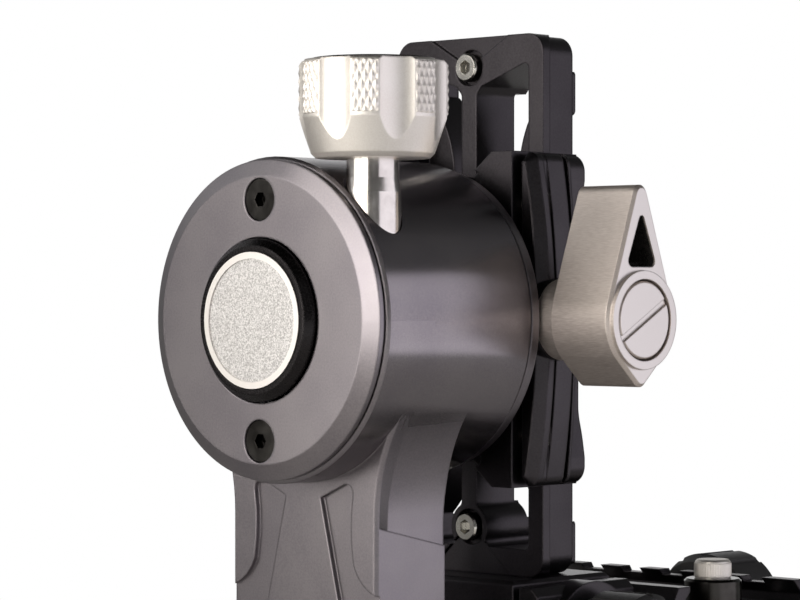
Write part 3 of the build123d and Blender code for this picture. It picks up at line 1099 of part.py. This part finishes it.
# ---- Every piece --------------------------------------------------------------------------------
def spindle_unit_pieces(name, plane):
    """Bearings, collar and lock of one spindle, as node names and their solids."""
    inner_spacer, outer_spacer = bearing_spacers()
    pieces = {
        "bearing_inner_races": inner_races(),
        "bearing_outer_races": outer_races(),
        "bearing_seals": bearing_seals(),
        "inner_spacer": [inner_spacer],
        "outer_spacer": [outer_spacer],
        "spindle_nut": [spindle_nut()],
        "snap_ring": [snap_ring()],
        "brake_collar": [brake_collar()],
        "cover_screws": cap_screws(),
        "lock_knob": [to_lock_axis(lock_knob())],
        "lock_knob_insert": [to_lock_axis(knob_insert())],
        "lock_shaft": [to_lock_axis(lock_shaft())],
    }
    return {f"{name}_{node}": [plane * solid for solid in solids] for node, solids in pieces.items()}


def build():
    knob, knob_cap, wing_stud = wing_knob()
    stop_screw, stop_collar = lens_stop()
    level_ring, level_vial = bubble_level()
    lower_seat = LOWER_JAW_OUTER - ROUND_BOSS - ROUND_KNOB_GAP
    lower_axis = Plane(origin=(X_PLATE_MID, lower_seat, TILT_HEIGHT + LOWER_STUD_Z), z_dir=(0, -1, 0))
    lower_stud = knob_stud(LOWER_STUD_ENGAGEMENT - LOWER_NEAR_Y - lower_seat, ROUND_KNOB_LENGTH / 2)
    lens_seat = LENS_HALF_FOOT + LENS_BOSS + ROUND_KNOB_GAP
    lens_axis = Plane(origin=(lens_seat, 0, TILT_HEIGHT + LENS_STUD_Z), z_dir=(1, 0, 0))
    lens_stud = knob_stud(lens_seat - LENS_STUD_END, LENS_KNOB_LENGTH / 2)
    nodes = {
        "arm": [arm()],
        "tilt_cover": [tilt_cover()],
        "pan_cover": [pan_cover()],
        "bubble_level": [PAN * level_ring],
        "bubble_level_vial": [PAN * level_vial],
        "tilt_spindle": [tilt_spindle()],
        "hub_end_cap": [hub_end_cap()],
        "hub_disc": [hub_disc()],
        "hub_screw": [hub_screw()],
        "pan_base": [pan_base()],
        "tripod_socket_bush": [socket_bush()],
        "swing_clamp_body": [clamp_body()],
        "swing_clamp_jaw": [clamp_jaw()],
        "swing_clamp_guide_pins": guide_pins(),
        "swing_clamp_mount_screws": mount_screws(),
        "wing_knob": [knob],
        "wing_knob_cap_screw": [knob_cap],
        "wing_knob_stud": [wing_stud],
        "swing_plate": [swing_plate()],
        "plate_stop_screws": stop_screws(),
        "lower_clamp_body": [lower_clamp_body()],
        "lower_clamp_jaw": [lower_clamp_jaw()],
        "lower_clamp_guide_pins": lower_guide_pins(),
        "platform_screws": platform_screws(),
        "lower_clamp_knob": [lower_axis * round_knob(ROUND_KNOB_R, ROUND_KNOB_LENGTH)],
        "lower_clamp_stud": [lower_axis * lower_stud],
        "cross_rail": [cross_rail()],
        "cross_rail_screws": rail_screws(),
        "lens_clamp_body": [lens_clamp_body()],
        "lens_clamp_jaw": [lens_clamp_jaw()],
        "lens_clamp_guide_pins": lens_guide_pins(),
        "lens_stop_screw": [stop_screw],
        "lens_stop_collar": [stop_collar],
        "lens_clamp_knob": [lens_axis * round_knob(LENS_KNOB_R, LENS_KNOB_LENGTH)],
        "lens_clamp_stud": [lens_axis * lens_stud],
    }
    nodes.update(spindle_unit_pieces("tilt", TILT))
    nodes.update(spindle_unit_pieces("pan", PAN))
    for name, solids in nodes.items():
        loose = [piece for solid in solids for piece in solid.solids()]
        shape = Compound(children=loose) if len(loose) > 1 else loose[0]
        shape.label = name
        export_step(shape, f"parts/{name}.step")


build()
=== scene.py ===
"""Gimbal tripod head: finishes, knurling, floor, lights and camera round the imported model.

Lengths are metres in the frame of the CAD model: +Z up, the origin in the middle of the base, the
arm at -X, the knobs of the clamps towards -Y.
"""
import json

import bpy
import numpy as np
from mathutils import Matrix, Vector


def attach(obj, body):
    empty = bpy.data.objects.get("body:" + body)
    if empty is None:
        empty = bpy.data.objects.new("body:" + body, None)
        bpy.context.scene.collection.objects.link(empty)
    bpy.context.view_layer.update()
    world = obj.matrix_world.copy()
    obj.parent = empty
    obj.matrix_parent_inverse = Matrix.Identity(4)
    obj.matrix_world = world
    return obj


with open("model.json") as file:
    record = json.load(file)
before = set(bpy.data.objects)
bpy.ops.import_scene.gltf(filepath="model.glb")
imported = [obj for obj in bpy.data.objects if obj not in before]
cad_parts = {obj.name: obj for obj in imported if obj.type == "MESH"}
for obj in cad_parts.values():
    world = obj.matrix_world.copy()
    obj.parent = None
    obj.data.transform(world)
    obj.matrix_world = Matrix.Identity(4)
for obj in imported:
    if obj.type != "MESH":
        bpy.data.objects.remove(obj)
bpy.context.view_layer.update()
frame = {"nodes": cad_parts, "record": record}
NODES = frame["nodes"]
MM = 0.001

# ---- Places and sizes taken from the CAD ---------------------------------------------------------
TILT_HEIGHT = 160.0 * MM
BARREL_R = 29.6 * MM
DISC_CENTRE_R = 11.1 * MM                           # the hub disc inside its rim
PAN_LOCK_HEIGHT = 44.7 * MM
TILT_LOCK_X = -91.7 * MM
LOCK_OFFSET = 20.05 * MM                            # from a barrel's axis to its lock knob's axis
LOCK_KNOB_R = 13.15 * MM
LOCK_KNOB_LOBES = 7
LOBE_HALF_ANGLE = 11.2                              # degrees, from a crest's middle to its edge
KNURL_START, KNURL_END = 36.3 * MM, 45.6 * MM       # from the barrel's axis, along the knob's axis
POST_X, POST_Y = 0.0, -24.5 * MM                    # the lens stop post
POST_R, POST_BOTTOM, POST_TOP = 3.5 * MM, 108.5 * MM, 112.2 * MM
WING_X = -49.0 * MM
WINDOW_FRONT, WINDOW_BACK = -46.2 * MM, -33.3 * MM  # along Y, the window through the wing knob
WINDOW_CENTRES = np.array([(0.0, 18.2), (-2.6, 10.8), (2.6, 10.8)]) * MM   # its round corners
WINDOW_RADII = np.array([0.8, 1.2, 1.2]) * MM
WINDOW_TILT = np.radians(19.4)                      # of the window's long sides, from upright

# ---- Sizes of the new pieces ---------------------------------------------------------------------
KNURL_PITCH = 1.22 * MM                             # between grooves, round the lobe
KNURL_RISE = 3.1 * MM                               # between grooves, along the lobe
KNURL_PROUD = 0.36 * MM
KNURL_END_SLOPE = 0.8                               # how fast the ridges rise from the knurl's ends
GROOVE_LIFT = 0.02 * MM                             # of a groove's floor above the metal under it
SINK = 0.06 * MM                                    # of a patch's rim below the metal round it
POST_TEETH = 44
POST_TOOTH = 0.20 * MM
POST_TOOTH_LIFT = 0.01 * MM
POINTS_PER_TOOTH = 6
# Gap and wall of the black sheet of painted shade in the wing knob's window.
SHADE_SHEET_GAP, SHADE_SHEET_WALL = 0.02 * MM, 0.10 * MM
SHADE_SHEET_ARC_POINTS = 13


# ---- Nodes, colours and materials ----------------------------------------------------------------
def linear(code):
    """sRGB hex colour as the linear RGBA that a shader socket takes."""
    value = np.array([int(code[i:i + 2], 16) for i in (1, 3, 5)]) / 255
    value = np.where(value <= 0.04045, value / 12.92, ((value + 0.055) / 1.055) ** 2.4)
    return (*value.tolist(), 1.0)


def add(tree, kind, inputs=None, **settings):
    """Add one shader node: settings go to the node, inputs are values or sockets to link from."""
    node = tree.nodes.new("ShaderNode" + kind)
    for name, value in settings.items():
        setattr(node, name, value)
    for name, value in (inputs or {}).items():
        if isinstance(value, bpy.types.NodeSocket):
            tree.links.new(value, node.inputs[name])
        else:
            node.inputs[name].default_value = value
    return node


def new_material(name):
    """Empty material, its node tree, and the point on the surface in metres."""
    material = bpy.data.materials.new(name)
    material.use_nodes = True
    tree = material.node_tree
    tree.nodes.clear()
    return material, tree, add(tree, "TexCoord").outputs["Object"]


def maths(tree, operation, first, second):
    """Two numbers added, multiplied or compared, as the operation says."""
    return add(tree, "Math", {0: first, 1: second}, operation=operation).outputs[0]


def largest(tree, first, *others):
    """The largest of some values."""
    for value in others:
        first = maths(tree, "MAXIMUM", first, value)
    return first


def dot(tree, vector, way):
    """How far a vector reaches along a direction."""
    node = add(tree, "VectorMath", {0: vector, 1: way}, operation="DOT_PRODUCT")
    return node.outputs["Value"]


def length(tree, vector):
    """Length of a vector."""
    return add(tree, "VectorMath", {0: vector}, operation="LENGTH").outputs["Value"]


def grain(tree, point, size, detail=2.0):
    """Noise from 0 to 1 whose lumps are this size across."""
    noise = add(tree, "TexNoise", {"Vector": point, "Scale": 1 / size, "Detail": detail})
    return noise.outputs["Fac"]


def span(tree, value, low, high, start=0.35, end=0.65):
    """From low to high while the value goes from start to end, and level outside that."""
    return add(tree, "MapRange", {"Value": value, "From Min": start, "From Max": end,
                                  "To Min": low, "To Max": high}).outputs["Result"]


def mixed(tree, share, first, second):
    """Colour between two others."""
    node = add(tree, "Mix", {"Factor": share, "A": first, "B": second}, data_type="RGBA")
    return node.outputs["Result"]


def between(tree, share, first, second):
    """Number between two others."""
    node = add(tree, "Mix", {"Factor": share, "A": first, "B": second}, data_type="FLOAT")
    return node.outputs["Result"]


def close(tree, colour, roughness, height, depth, edge=0.0, **constants):
    """Principled shader and output: the height is in depths, and edges are worn to a radius."""
    worn = {}
    if edge:
        worn["Normal"] = add(tree, "Bevel", {"Radius": edge}, samples=4).outputs["Normal"]
    bump = add(tree, "Bump", {"Height": height, "Distance": depth, **worn})
    inputs = {name.replace("_", " "): value for name, value in constants.items()}
    shader = add(tree, "BsdfPrincipled", {"Base Color": colour, "Roughness": roughness,
                                          "Normal": bump.outputs["Normal"], **inputs})
    add(tree, "OutputMaterial", {"Surface": shader.outputs["BSDF"]})
    return shader


GRIT = 0.35 * MM              # blasting grit is 0.1 mm, and drawn coarser so that it shows
DYE_CLOUD = 14 * MM           # across a cloud that the dye bath leaves


def grit_and_dye(tree, point, lump, dark, light):
    """Height of blasted metal, and its colour: the grit and the clouds of the dye bath together."""
    grit, cloud = grain(tree, point, lump, 3.0), grain(tree, point, DYE_CLOUD)
    tone = span(tree, maths(tree, "ADD", grit, cloud), 0.0, 1.0, 0.75, 1.25)
    return grit, mixed(tree, tone, linear(dark), linear(light))


def blasted_anodised(name, dark, light, roughness, lump=GRIT, depth=0.006 * MM):
    """Aluminium blasted with fine grit, then anodised.

    The eye gets an even satin tone with a fine sparkle, faint clouds, and a soft bright line along
    each edge.
    """
    material, tree, point = new_material(name)
    grit, colour = grit_and_dye(tree, point, lump, dark, light)
    gloss = span(tree, grit, roughness - 0.04, roughness + 0.04)
    close(tree, colour, gloss, grit, depth, edge=0.5 * MM, Metallic=1.0)
    return material


def turned_anodised(name, dark, light):
    """Barrel turned on a lathe, lightly blasted and dyed black.

    The fine turning lines round the barrel spread a reflection along the barrel and leave it sharp
    round it, so soft lamps show as level bands with clear edges.
    """
    material, tree, point = new_material(name)
    grit, colour = grit_and_dye(tree, point, GRIT, dark, light)
    gloss = span(tree, grit, 0.21, 0.25)
    shader = close(tree, colour, gloss, grit, 0.002 * MM, Metallic=1.0, Anisotropic=0.8)
    along = add(tree, "VectorTransform", {"Vector": (1.0, 0.0, 0.0)}, vector_type="VECTOR",
                convert_from="OBJECT", convert_to="WORLD")
    tree.links.new(along.outputs["Vector"], shader.inputs["Tangent"])
    return material


def milled_anodised(name, dark, light, face):
    """Wing knob milled from bar and anodised silver, with brushed flanks and a turned face.

    The cutter's lines, 0.1 mm wide, are drawn 0.15 mm wide so that they show: streaks of slightly
    different tone and gloss. The turned face is smoother, so it is the brightest part of the knob.
    """
    material, tree, point = new_material(name)
    drawn_out = add(tree, "Mapping", {"Vector": point, "Scale": (1.0, 0.10, 1.0)})
    lines = grain(tree, drawn_out.outputs["Vector"], 0.15 * MM, 3.0)
    outward = add(tree, "TexCoord").outputs["Normal"]
    front = span(tree, dot(tree, outward, (0.0, -1.0, 0.0)), 0.0, 1.0, 0.85, 0.95)
    brushed = mixed(tree, span(tree, lines, 0.0, 1.0, 0.3, 0.7), linear(dark), linear(light))
    gloss = between(tree, front, span(tree, lines, 0.46, 0.56), 0.32)
    close(tree, mixed(tree, front, brushed, linear(face)), gloss, lines, 0.002 * MM,
          edge=0.3 * MM, Metallic=1.0)
    return material


def etched_disc():
    """Bright aluminium disc, acid etched inside a turned rim.

    The field is a coarse salt-and-pepper frost; the rim outside it is smooth and nearly white.
    """
    material, tree, point = new_material("Etched aluminium disc")
    flat = add(tree, "VectorMath", {0: point, 1: (0.0, 0.0, -TILT_HEIGHT)}).outputs[0]
    flat = add(tree, "VectorMath", {0: flat, 1: (0.0, 1.0, 1.0)}, operation="MULTIPLY").outputs[0]
    blend = 0.1 * MM
    field = span(tree, length(tree, flat), 1.0, 0.0, DISC_CENTRE_R - blend, DISC_CENTRE_R + blend)
    pits = grain(tree, point, 0.24 * MM, 4.0)
    frost = mixed(tree, span(tree, pits, 0.0, 1.0, 0.36, 0.62), linear("#a9a7a6"),
                  linear("#e8e6e5"))
    colour = mixed(tree, field, linear("#f2eeea"), frost)
    close(tree, colour, between(tree, field, 0.40, 0.5), maths(tree, "MULTIPLY", pits, field),
          0.03 * MM, Metallic=1.0)
    return material


def polished(name, dark, light, roughness, edge=0.0):
    """Metal polished to a near mirror, with faint cloudy wiping marks."""
    material, tree, point = new_material(name)
    haze = grain(tree, point, 3 * MM, 4.0)
    colour = mixed(tree, span(tree, haze, 0.0, 1.0), linear(dark), linear(light))
    gloss = span(tree, haze, roughness - 0.02, roughness + 0.03)
    close(tree, colour, gloss, haze, 0.001 * MM, edge, Metallic=1.0)
    return material


WAVE_PERIOD = np.pi / 10      # of the wave texture, in its own scaled coordinate


def machined(name, dark, light, roughness, spacing, depth):
    """Metal as it comes off the lathe or mill: fine tool marks and a little scatter in the tone.

    The spacing of the marks is two to four times the real one, so that they show.
    """
    material, tree, point = new_material(name)
    marks = add(tree, "TexWave", {"Vector": point, "Scale": WAVE_PERIOD / spacing,
                                  "Distortion": 1.5, "Detail": 2.0}).outputs["Fac"]
    speck = grain(tree, point, 0.5 * MM, 3.0)
    colour = mixed(tree, span(tree, speck, 0.0, 1.0), linear(dark), linear(light))
    gloss = span(tree, speck, roughness - 0.05, roughness + 0.05)
    close(tree, colour, gloss, marks, depth, Metallic=1.0)
    return material


def moulded(name, dark, light, roughness, lump, depth):
    """Moulded plastic or rubber: an even dark tone over the fine orange peel of its mould."""
    material, tree, point = new_material(name)
    peel = grain(tree, point, lump, 3.0)
    colour = mixed(tree, span(tree, peel, 0.0, 1.0), linear(dark), linear(light))
    gloss = span(tree, peel, roughness - 0.05, roughness + 0.05)
    close(tree, colour, gloss, peel, depth)
    return material


def level_vial():
    """Acrylic vial of a spirit level: clear yellow-green liquid with a faint swirl."""
    material, tree, point = new_material("Acrylic vial with green spirit")
    swirl = grain(tree, point, 2 * MM)
    colour = mixed(tree, span(tree, swirl, 0.0, 1.0), linear("#b5dc3c"), linear("#d3ee6e"))
    close(tree, colour, span(tree, swirl, 0.04, 0.08), swirl, 0.001 * MM, IOR=1.49,
          Transmission_Weight=0.6)
    return material


# Satin grey-black: the arm, the two covers, the pan base and the tilt spindle.
black = blasted_anodised("Blasted black anodised aluminium", "#837e83", "#918c8f", 0.34)
# The same blasting, dyed darker: plate, clamps and platform read nearly black.
deep_black = blasted_anodised("Blasted deep black anodised aluminium", "#3f3c3f", "#4a474a", 0.34)
# Darkest and smoothest of the three: the ring round the disc reads as a black line.
end_cap_black = blasted_anodised("Fine turned black anodised aluminium", "#2a2829", "#333132",
                                 0.26, depth=0.002 * MM)
# Bright, soft and slightly warm: the lock knobs, the lens stop and the level's housing.
silver = blasted_anodised("Blasted silver anodised aluminium", "#ebe5de", "#f4f0ea", 0.46,
                          lump=0.30 * MM)
# Grey-black with level bands of light: the outside of the arm's barrel.
barrel_black = turned_anodised("Turned black anodised aluminium", "#837e83", "#918c8f")
# Warm brushed silver with a brighter face: the wing knob and its screw.
wing_silver = milled_anodised("Milled silver anodised aluminium", "#d3c8c0", "#e6ddd6", "#dcd7d3")
disc_metal = etched_disc()

FINISHES = {
    "black_anodised": black,
    "satin_silver": silver,
    # Hard white and dark bands: the shafts of the lock knobs.
    "polished_steel": polished("Polished stainless steel", "#d8d2cd", "#e6e1dc", 0.18),
    # Dark with small bright edges: the socket screws and the lens stop's collar.
    "black_oxide": polished("Black oxide on steel", "#33312f", "#454341", 0.22, edge=0.20 * MM),
    # Small and bright: the plate's stop screws, the clamps' studs and pins, nuts and spacers.
    "bright_steel": polished("Bright zinc plated steel", "#cfccc4", "#e2dfd8", 0.18,
                             edge=0.15 * MM),
    # Clean grey steel, seen only where a bearing shows through a gap.
    "bearing_steel": machined("Ground bearing steel", "#b4b4b6", "#c2c2c4", 0.25,
                              spacing=0.3946 * MM, depth=0.001 * MM),
    # Flat dark ring between a bearing's races.
    "seal_rubber": moulded("Nitrile rubber", "#1c1c1c", "#262626", 0.55, lump=0.3 * MM,
                           depth=0.01 * MM),
    # Bare light metal of the brake collars, with visible tool marks.
    "collar_alloy": machined("Milled aluminium", "#c6c6c8", "#d4d4d6", 0.35,
                             spacing=0.4932 * MM, depth=0.004 * MM),
    # Smooth dark discs on the lock knobs, and the black sheet of painted shade in the wing knob's
    # window.
    "dark_insert": moulded("Smooth dark acetal and painted window shade", "#211f1e", "#2a2827", 0.28, lump=1.0 * MM,
                           depth=0.002 * MM),
    # Slightly shiny black knobs of the lower clamps.
    "black_plastic": moulded("Moulded black nylon", "#1d1c1d", "#272627", 0.42, lump=0.4 * MM,
                             depth=0.01 * MM),
    "level_liquid": level_vial(),
}
OWN_FINISH = {"hub_disc": disc_metal, "hub_end_cap": end_cap_black, "wing_knob": wing_silver,
              "wing_knob_cap_screw": wing_silver}
OWN_FINISH.update({node: deep_black for node in (
    "swing_plate", "swing_clamp_body", "swing_clamp_jaw", "lower_clamp_body", "lower_clamp_jaw",
    "cross_rail", "lens_clamp_body", "lens_clamp_jaw")})


def finish_nodes():
    """Give each CAD node the finish of its material slot, or its own."""
    for part in frame["record"]["subparts"]:
        mesh = NODES[part["node"]].data
        mesh.materials.clear()
        mesh.materials.append(OWN_FINISH.get(part["node"], FINISHES[part["material_slot"]]))


def finish_barrel(node):
    """Give the outside of a barrel round the tilt axis its turned finish.

    Its faces are those whose middle is at the barrel's radius and which look straight out from the
    axis.
    """
    mesh = NODES[node].data
    mesh.materials.append(barrel_black)
    count = len(mesh.polygons)
    middle, normal = np.empty(count * 3), np.empty(count * 3)
    mesh.polygons.foreach_get("center", middle)
    mesh.polygons.foreach_get("normal", normal)
    arm = middle.reshape(-1, 3)[:, 1:] - (0.0, TILT_HEIGHT)
    reach = np.linalg.norm(arm, axis=1)
    outward = np.einsum("ij,ij->i", arm, normal.reshape(-1, 3)[:, 1:]) / reach
    on_barrel = (abs(reach - BARREL_R) < 0.1 * MM) & (outward > 0.99)
    mesh.polygons.foreach_set("material_index", on_barrel.astype(np.int32))


# ---- New pieces ----------------------------------------------------------------------------------
def surface(name, points, body, slot, round_columns=False, round_rows=False):
    """Mesh of a grid of points (rows, columns, 3).

    A round direction joins its last line to its first.
    """
    rows, columns = points.shape[:2]
    index = np.arange(rows * columns).reshape(rows, columns)
    if round_columns:
        index = np.concatenate([index, index[:, :1]], axis=1)
    if round_rows:
        index = np.concatenate([index, index[:1]], axis=0)
    corners = [index[:-1, :-1], index[:-1, 1:], index[1:, 1:], index[1:, :-1]]
    quads = np.stack(corners, axis=-1)
    mesh = bpy.data.meshes.new(name)
    mesh.from_pydata(points.reshape(-1, 3).tolist(), [], quads.reshape(-1, 4).tolist())
    piece = bpy.data.objects.new(name, mesh)
    bpy.context.scene.collection.objects.link(piece)
    mesh.materials.append(FINISHES[slot])
    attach(piece, body)
    return piece


def knurl_patch(turn):
    """Diamond knurl on one lobe, as (radius, angle, height) grids.

    Two sets of V grooves cross on the lobe. With s round the lobe and h along it, a set's phase is
    s / pitch plus or minus h / rise, and its ridge is 1 where the phase is whole and 0 halfway. A
    point stands proud by the lower of the two ridges, and by less near the knurl's two ends, which
    makes them ragged. The rim of the grid dips into the lobe, so no gap shows round the patch.
    """
    step = KNURL_PITCH / 8
    steps = np.floor(np.radians(LOBE_HALF_ANGLE) * LOCK_KNOB_R / step)
    s, h = np.meshgrid(np.arange(-steps, steps + 1) * step,
                       np.arange(KNURL_START, KNURL_END, KNURL_RISE / 16))
    risen = (h - KNURL_START) / KNURL_RISE
    one, two = s / KNURL_PITCH + risen, s / KNURL_PITCH - risen
    ridge = np.minimum(1 - 2 * abs(one - np.round(one)), 1 - 2 * abs(two - np.round(two)))
    to_end = np.minimum(h - KNURL_START, h[-1, 0] - h)
    proud = np.minimum(KNURL_PROUD * ridge, KNURL_END_SLOPE * to_end)
    radius = LOCK_KNOB_R + GROOVE_LIFT + proud
    radius[[0, -1], :] = radius[:, 0] = radius[:, -1] = LOCK_KNOB_R - SINK
    return radius, s / LOCK_KNOB_R + turn, h


def lock_knob_knurls(name, body, first, place):
    """Knurled patches on the lobes of a lock knob.

    The first lobe is at the angle given, and place turns (across, side, along) into x, y, z.
    """
    for lobe in range(LOCK_KNOB_LOBES):
        radius, angle, along = knurl_patch(first + 2 * np.pi * lobe / LOCK_KNOB_LOBES)
        points = place(radius * np.cos(angle), radius * np.sin(angle), along)
        surface(f"{name}_{lobe + 1}", np.stack(points, axis=-1), body, "satin_silver")


def post_knurl():
    """Straight knurl round the lens stop post: the radius is a triangle wave of the angle.

    It rises out of the post at its lower end and goes back into it at its upper end.
    """
    angle = np.linspace(0, 2 * np.pi, POINTS_PER_TOOTH * POST_TEETH, endpoint=False)
    wave = abs((angle * POST_TEETH / (2 * np.pi)) % 1 * 2 - 1)
    height = np.array([POST_BOTTOM + 0.1 * MM, POST_BOTTOM + 0.3 * MM, POST_TOP - 0.75 * MM,
                       POST_TOP - 0.55 * MM])
    lift = np.array([0.0, 1.0, 1.0, 0.0])[:, None]
    radius = POST_R - SINK + lift * (SINK + POST_TOOTH_LIFT + POST_TOOTH * wave)
    points = np.stack([POST_X + radius * np.cos(angle), POST_Y + radius * np.sin(angle),
                       np.broadcast_to(height[:, None], radius.shape)], axis=-1)
    surface("lens_stop_post_knurl", points, "platform", "satin_silver", round_columns=True)


def wing_window_shade_sheet():
    """Black sheet of painted shade inside the window through the wing knob.

    The window's walls are bare metal that looks black only from shade, which this sheet paints.
    The window's outline is three circles with straight sides between them: each circle gives an arc
    of angles, and the arcs are joined in turn. The sheet is that outline along the knob's axis,
    and its section goes round the wall's four corners.
    and its section goes round the wall's four corners.
    """
    starts = np.array([WINDOW_TILT, np.pi - WINDOW_TILT, -np.pi / 2])
    ends = np.array([np.pi - WINDOW_TILT, 3 * np.pi / 2, WINDOW_TILT])
    share = np.linspace(0, 1, SHADE_SHEET_ARC_POINTS)
    angle = (starts[:, None] + (ends - starts)[:, None] * share).ravel()
    centre = np.repeat(WINDOW_CENTRES, SHADE_SHEET_ARC_POINTS, axis=0)
    radius = np.repeat(WINDOW_RADII, SHADE_SHEET_ARC_POINTS)
    x, z = centre[:, 0] + radius * np.cos(angle), centre[:, 1] + radius * np.sin(angle)
    outer, inner = SHADE_SHEET_GAP, SHADE_SHEET_GAP + SHADE_SHEET_WALL
    inset = np.array([outer, inner, inner, outer])[:, None]
    along = np.array([WINDOW_FRONT, WINDOW_FRONT, WINDOW_BACK, WINDOW_BACK])[:, None] + 0 * x
    points = np.stack([WING_X + x - inset * np.cos(angle), along,
                       TILT_HEIGHT + z - inset * np.sin(angle)], axis=-1)
    surface("wing_window_shade_sheet", points, "wing", "dark_insert", round_columns=True,
            round_rows=True)


# ---- Floor, lights and camera --------------------------------------------------------------------
CAMERA_AT = Vector((-475.4, -396.1, 164.8)) * MM
CAMERA_WAY = Vector((0.7204, 0.6935, -0.0021)).normalized()
RIGHT = Vector((CAMERA_WAY.y, -CAMERA_WAY.x, 0)).normalized()
AHEAD = Vector((CAMERA_WAY.x, CAMERA_WAY.y, 0)).normalized()

FLOOR_R, FLOOR_CORNERS = 6.0, 96
FLOOR_DROP = 0.2 * MM                  # under the base, so that the two never share a plane
NEAR_FLOOR_GLOW = 0.6                  # share of white that the camera sees on the floor near by
DIFFUSE_FILL = 0.45                    # level of the room for matt surfaces

BOX_ASIDE = 0.40                       # of each softbox, from the camera's line of sight
SOFTBOXES = (                          # name, side, start, end, low, high, colour, radiance
    ("left front softbox", -1, -0.88, -0.42, 0.08, 0.52, "#fffaf3", 4.9),
    ("left side softbox", -1, -0.42, -0.105, 0.08, 0.52, "#fffaf3", 2.7),
    ("right softbox", 1, -0.95, 0.04, 0.022, 0.353, "#faf6ff", 1.05),
)


def stage_floor():
    """Pale round floor, which keeps the shadow near the object and is white further out.

    The white also shows in glossy metal, but only in a band along the camera's line of sight, from
    a little to its left to 0.8 m to its right.
    """
    angle = np.linspace(0, 2 * np.pi, FLOOR_CORNERS, endpoint=False)
    rim = np.stack([FLOOR_R * np.cos(angle), FLOOR_R * np.sin(angle), 0 * angle - FLOOR_DROP],
                   axis=1)
    mesh = bpy.data.meshes.new("studio_floor")
    mesh.from_pydata(rim.tolist(), [], [list(range(FLOOR_CORNERS))])
    floor = bpy.data.objects.new("studio_floor", mesh)
    bpy.context.scene.collection.objects.link(floor)

    material, tree, point = new_material("Pale matt studio floor")
    ray = add(tree, "LightPath").outputs
    far = span(tree, length(tree, point), 0.0, 1.0, 0.35, 0.95)
    aside = dot(tree, point, RIGHT)
    behind = maths(tree, "MULTIPLY", span(tree, aside, 0.0, 1.0, -0.35, -0.05),
                   span(tree, aside, 1.0, 0.0, 0.45, 0.80))
    gloss = maths(tree, "MULTIPLY",
                  largest(tree, ray["Is Glossy Ray"], ray["Is Transmission Ray"]), behind)
    glow = maths(tree, "MULTIPLY", largest(tree, ray["Is Camera Ray"], gloss), far)
    near = maths(tree, "MULTIPLY", ray["Is Camera Ray"], NEAR_FLOOR_GLOW)
    paper = mixed(tree, grain(tree, point, 4 * MM), linear("#b3b1ae"), linear("#b9b7b4"))
    matt = add(tree, "BsdfDiffuse", {"Color": paper})
    white = add(tree, "Emission", {"Color": linear("#ffffff"), "Strength": 1.0})
    both = add(tree, "MixShader", {0: largest(tree, glow, near), 1: matt.outputs[0],
                                   2: white.outputs[0]})
    add(tree, "OutputMaterial", {"Surface": both.outputs[0]})
    mesh.materials.append(material)


def stage_room():
    """World: white to the camera; to gloss, a white wall behind the object in a dim room.

    The room is brighter to the left than to the right. It is dim at the horizon, brightest from 24
    to 37 degrees up, and nearly black overhead.
    """
    world = bpy.data.worlds.new("Studio room")
    bpy.context.scene.world = world
    world.use_nodes = True
    tree = world.node_tree
    tree.nodes.clear()
    ray = add(tree, "LightPath").outputs
    way = add(tree, "TexCoord").outputs["Generated"]
    gloss = largest(tree, ray["Is Glossy Ray"], ray["Is Transmission Ray"])
    wall = maths(tree, "MULTIPLY", gloss, span(tree, dot(tree, way, AHEAD), 0.0, 1.0, 0.88, 0.95))
    up = add(tree, "SeparateXYZ", {"Vector": way}).outputs["Z"]
    leftward = span(tree, dot(tree, way, -RIGHT), 0.14, 0.70, 0.3, 0.8)
    room = maths(tree, "MULTIPLY", span(tree, up, 0.3, 1.0, 0.0, 0.4), leftward)
    room = maths(tree, "MULTIPLY", room, span(tree, up, 1.0, 0.05, 0.60, 0.72))
    fill = between(tree, gloss, DIFFUSE_FILL, room)
    strength = between(tree, largest(tree, ray["Is Camera Ray"], wall), fill, 1.0)
    background = add(tree, "Background", {"Color": linear("#ffffff"), "Strength": strength})
    add(tree, "OutputWorld", {"Surface": background.outputs[0]})


def softbox(name, side, start, end, low, high, colour, radiance):
    """Upright softbox beside the camera's line of sight, out of the camera's sight.

    It stands on the line's right where side is 1 and on its left where it is -1, and runs along it
    from start to end, measured from the object's origin.
    """
    lamp = bpy.data.lights.new(name, "AREA")
    lamp.shape = "RECTANGLE"
    lamp.size, lamp.size_y = end - start, high - low
    lamp.color = linear(colour)[:3]
    lamp.energy = radiance * np.pi * (end - start) * (high - low)
    box = bpy.data.objects.new(name, lamp)
    bpy.context.scene.collection.objects.link(box)
    middle = Vector((0, 0, (low + high) / 2))
    box.location = RIGHT * side * BOX_ASIDE + AHEAD * (start + end) / 2 + middle
    box.rotation_euler = (-side * RIGHT).to_track_quat("-Z", "Y").to_euler()
    box.visible_camera = False


def place_camera():
    """Camera 0.55 m from the arm's cover and nearly level with the tilt axis."""
    camera = bpy.data.cameras.new("camera")
    camera.sensor_width, camera.lens = 36.0, 136.3
    camera.clip_start, camera.clip_end = 0.02, 30
    eye = bpy.data.objects.new("camera", camera)
    bpy.context.scene.collection.objects.link(eye)
    eye.location = CAMERA_AT
    eye.rotation_euler = CAMERA_WAY.to_track_quat("-Z", "Y").to_euler()
    bpy.context.scene.camera = eye


# ---- The scene -----------------------------------------------------------------------------------
finish_nodes()
finish_barrel("arm")
lock_knob_knurls("tilt_lock_knurl", "tilt_lock", np.pi / (2 * LOCK_KNOB_LOBES),
                 lambda a, b, c: (TILT_LOCK_X + a, b - LOCK_OFFSET, TILT_HEIGHT + c))
lock_knob_knurls("pan_lock_knurl", "pan_lock", np.pi,
                 lambda a, b, c: (a - LOCK_OFFSET, -c, PAN_LOCK_HEIGHT + b))
post_knurl()
# Black sheet of painted shade inside the wing knob's window.
wing_window_shade_sheet()

place_camera()
stage_floor()
stage_room()
for box_settings in SOFTBOXES:
    softbox(*box_settings)
bpy.context.scene.view_settings.view_transform = "Standard"
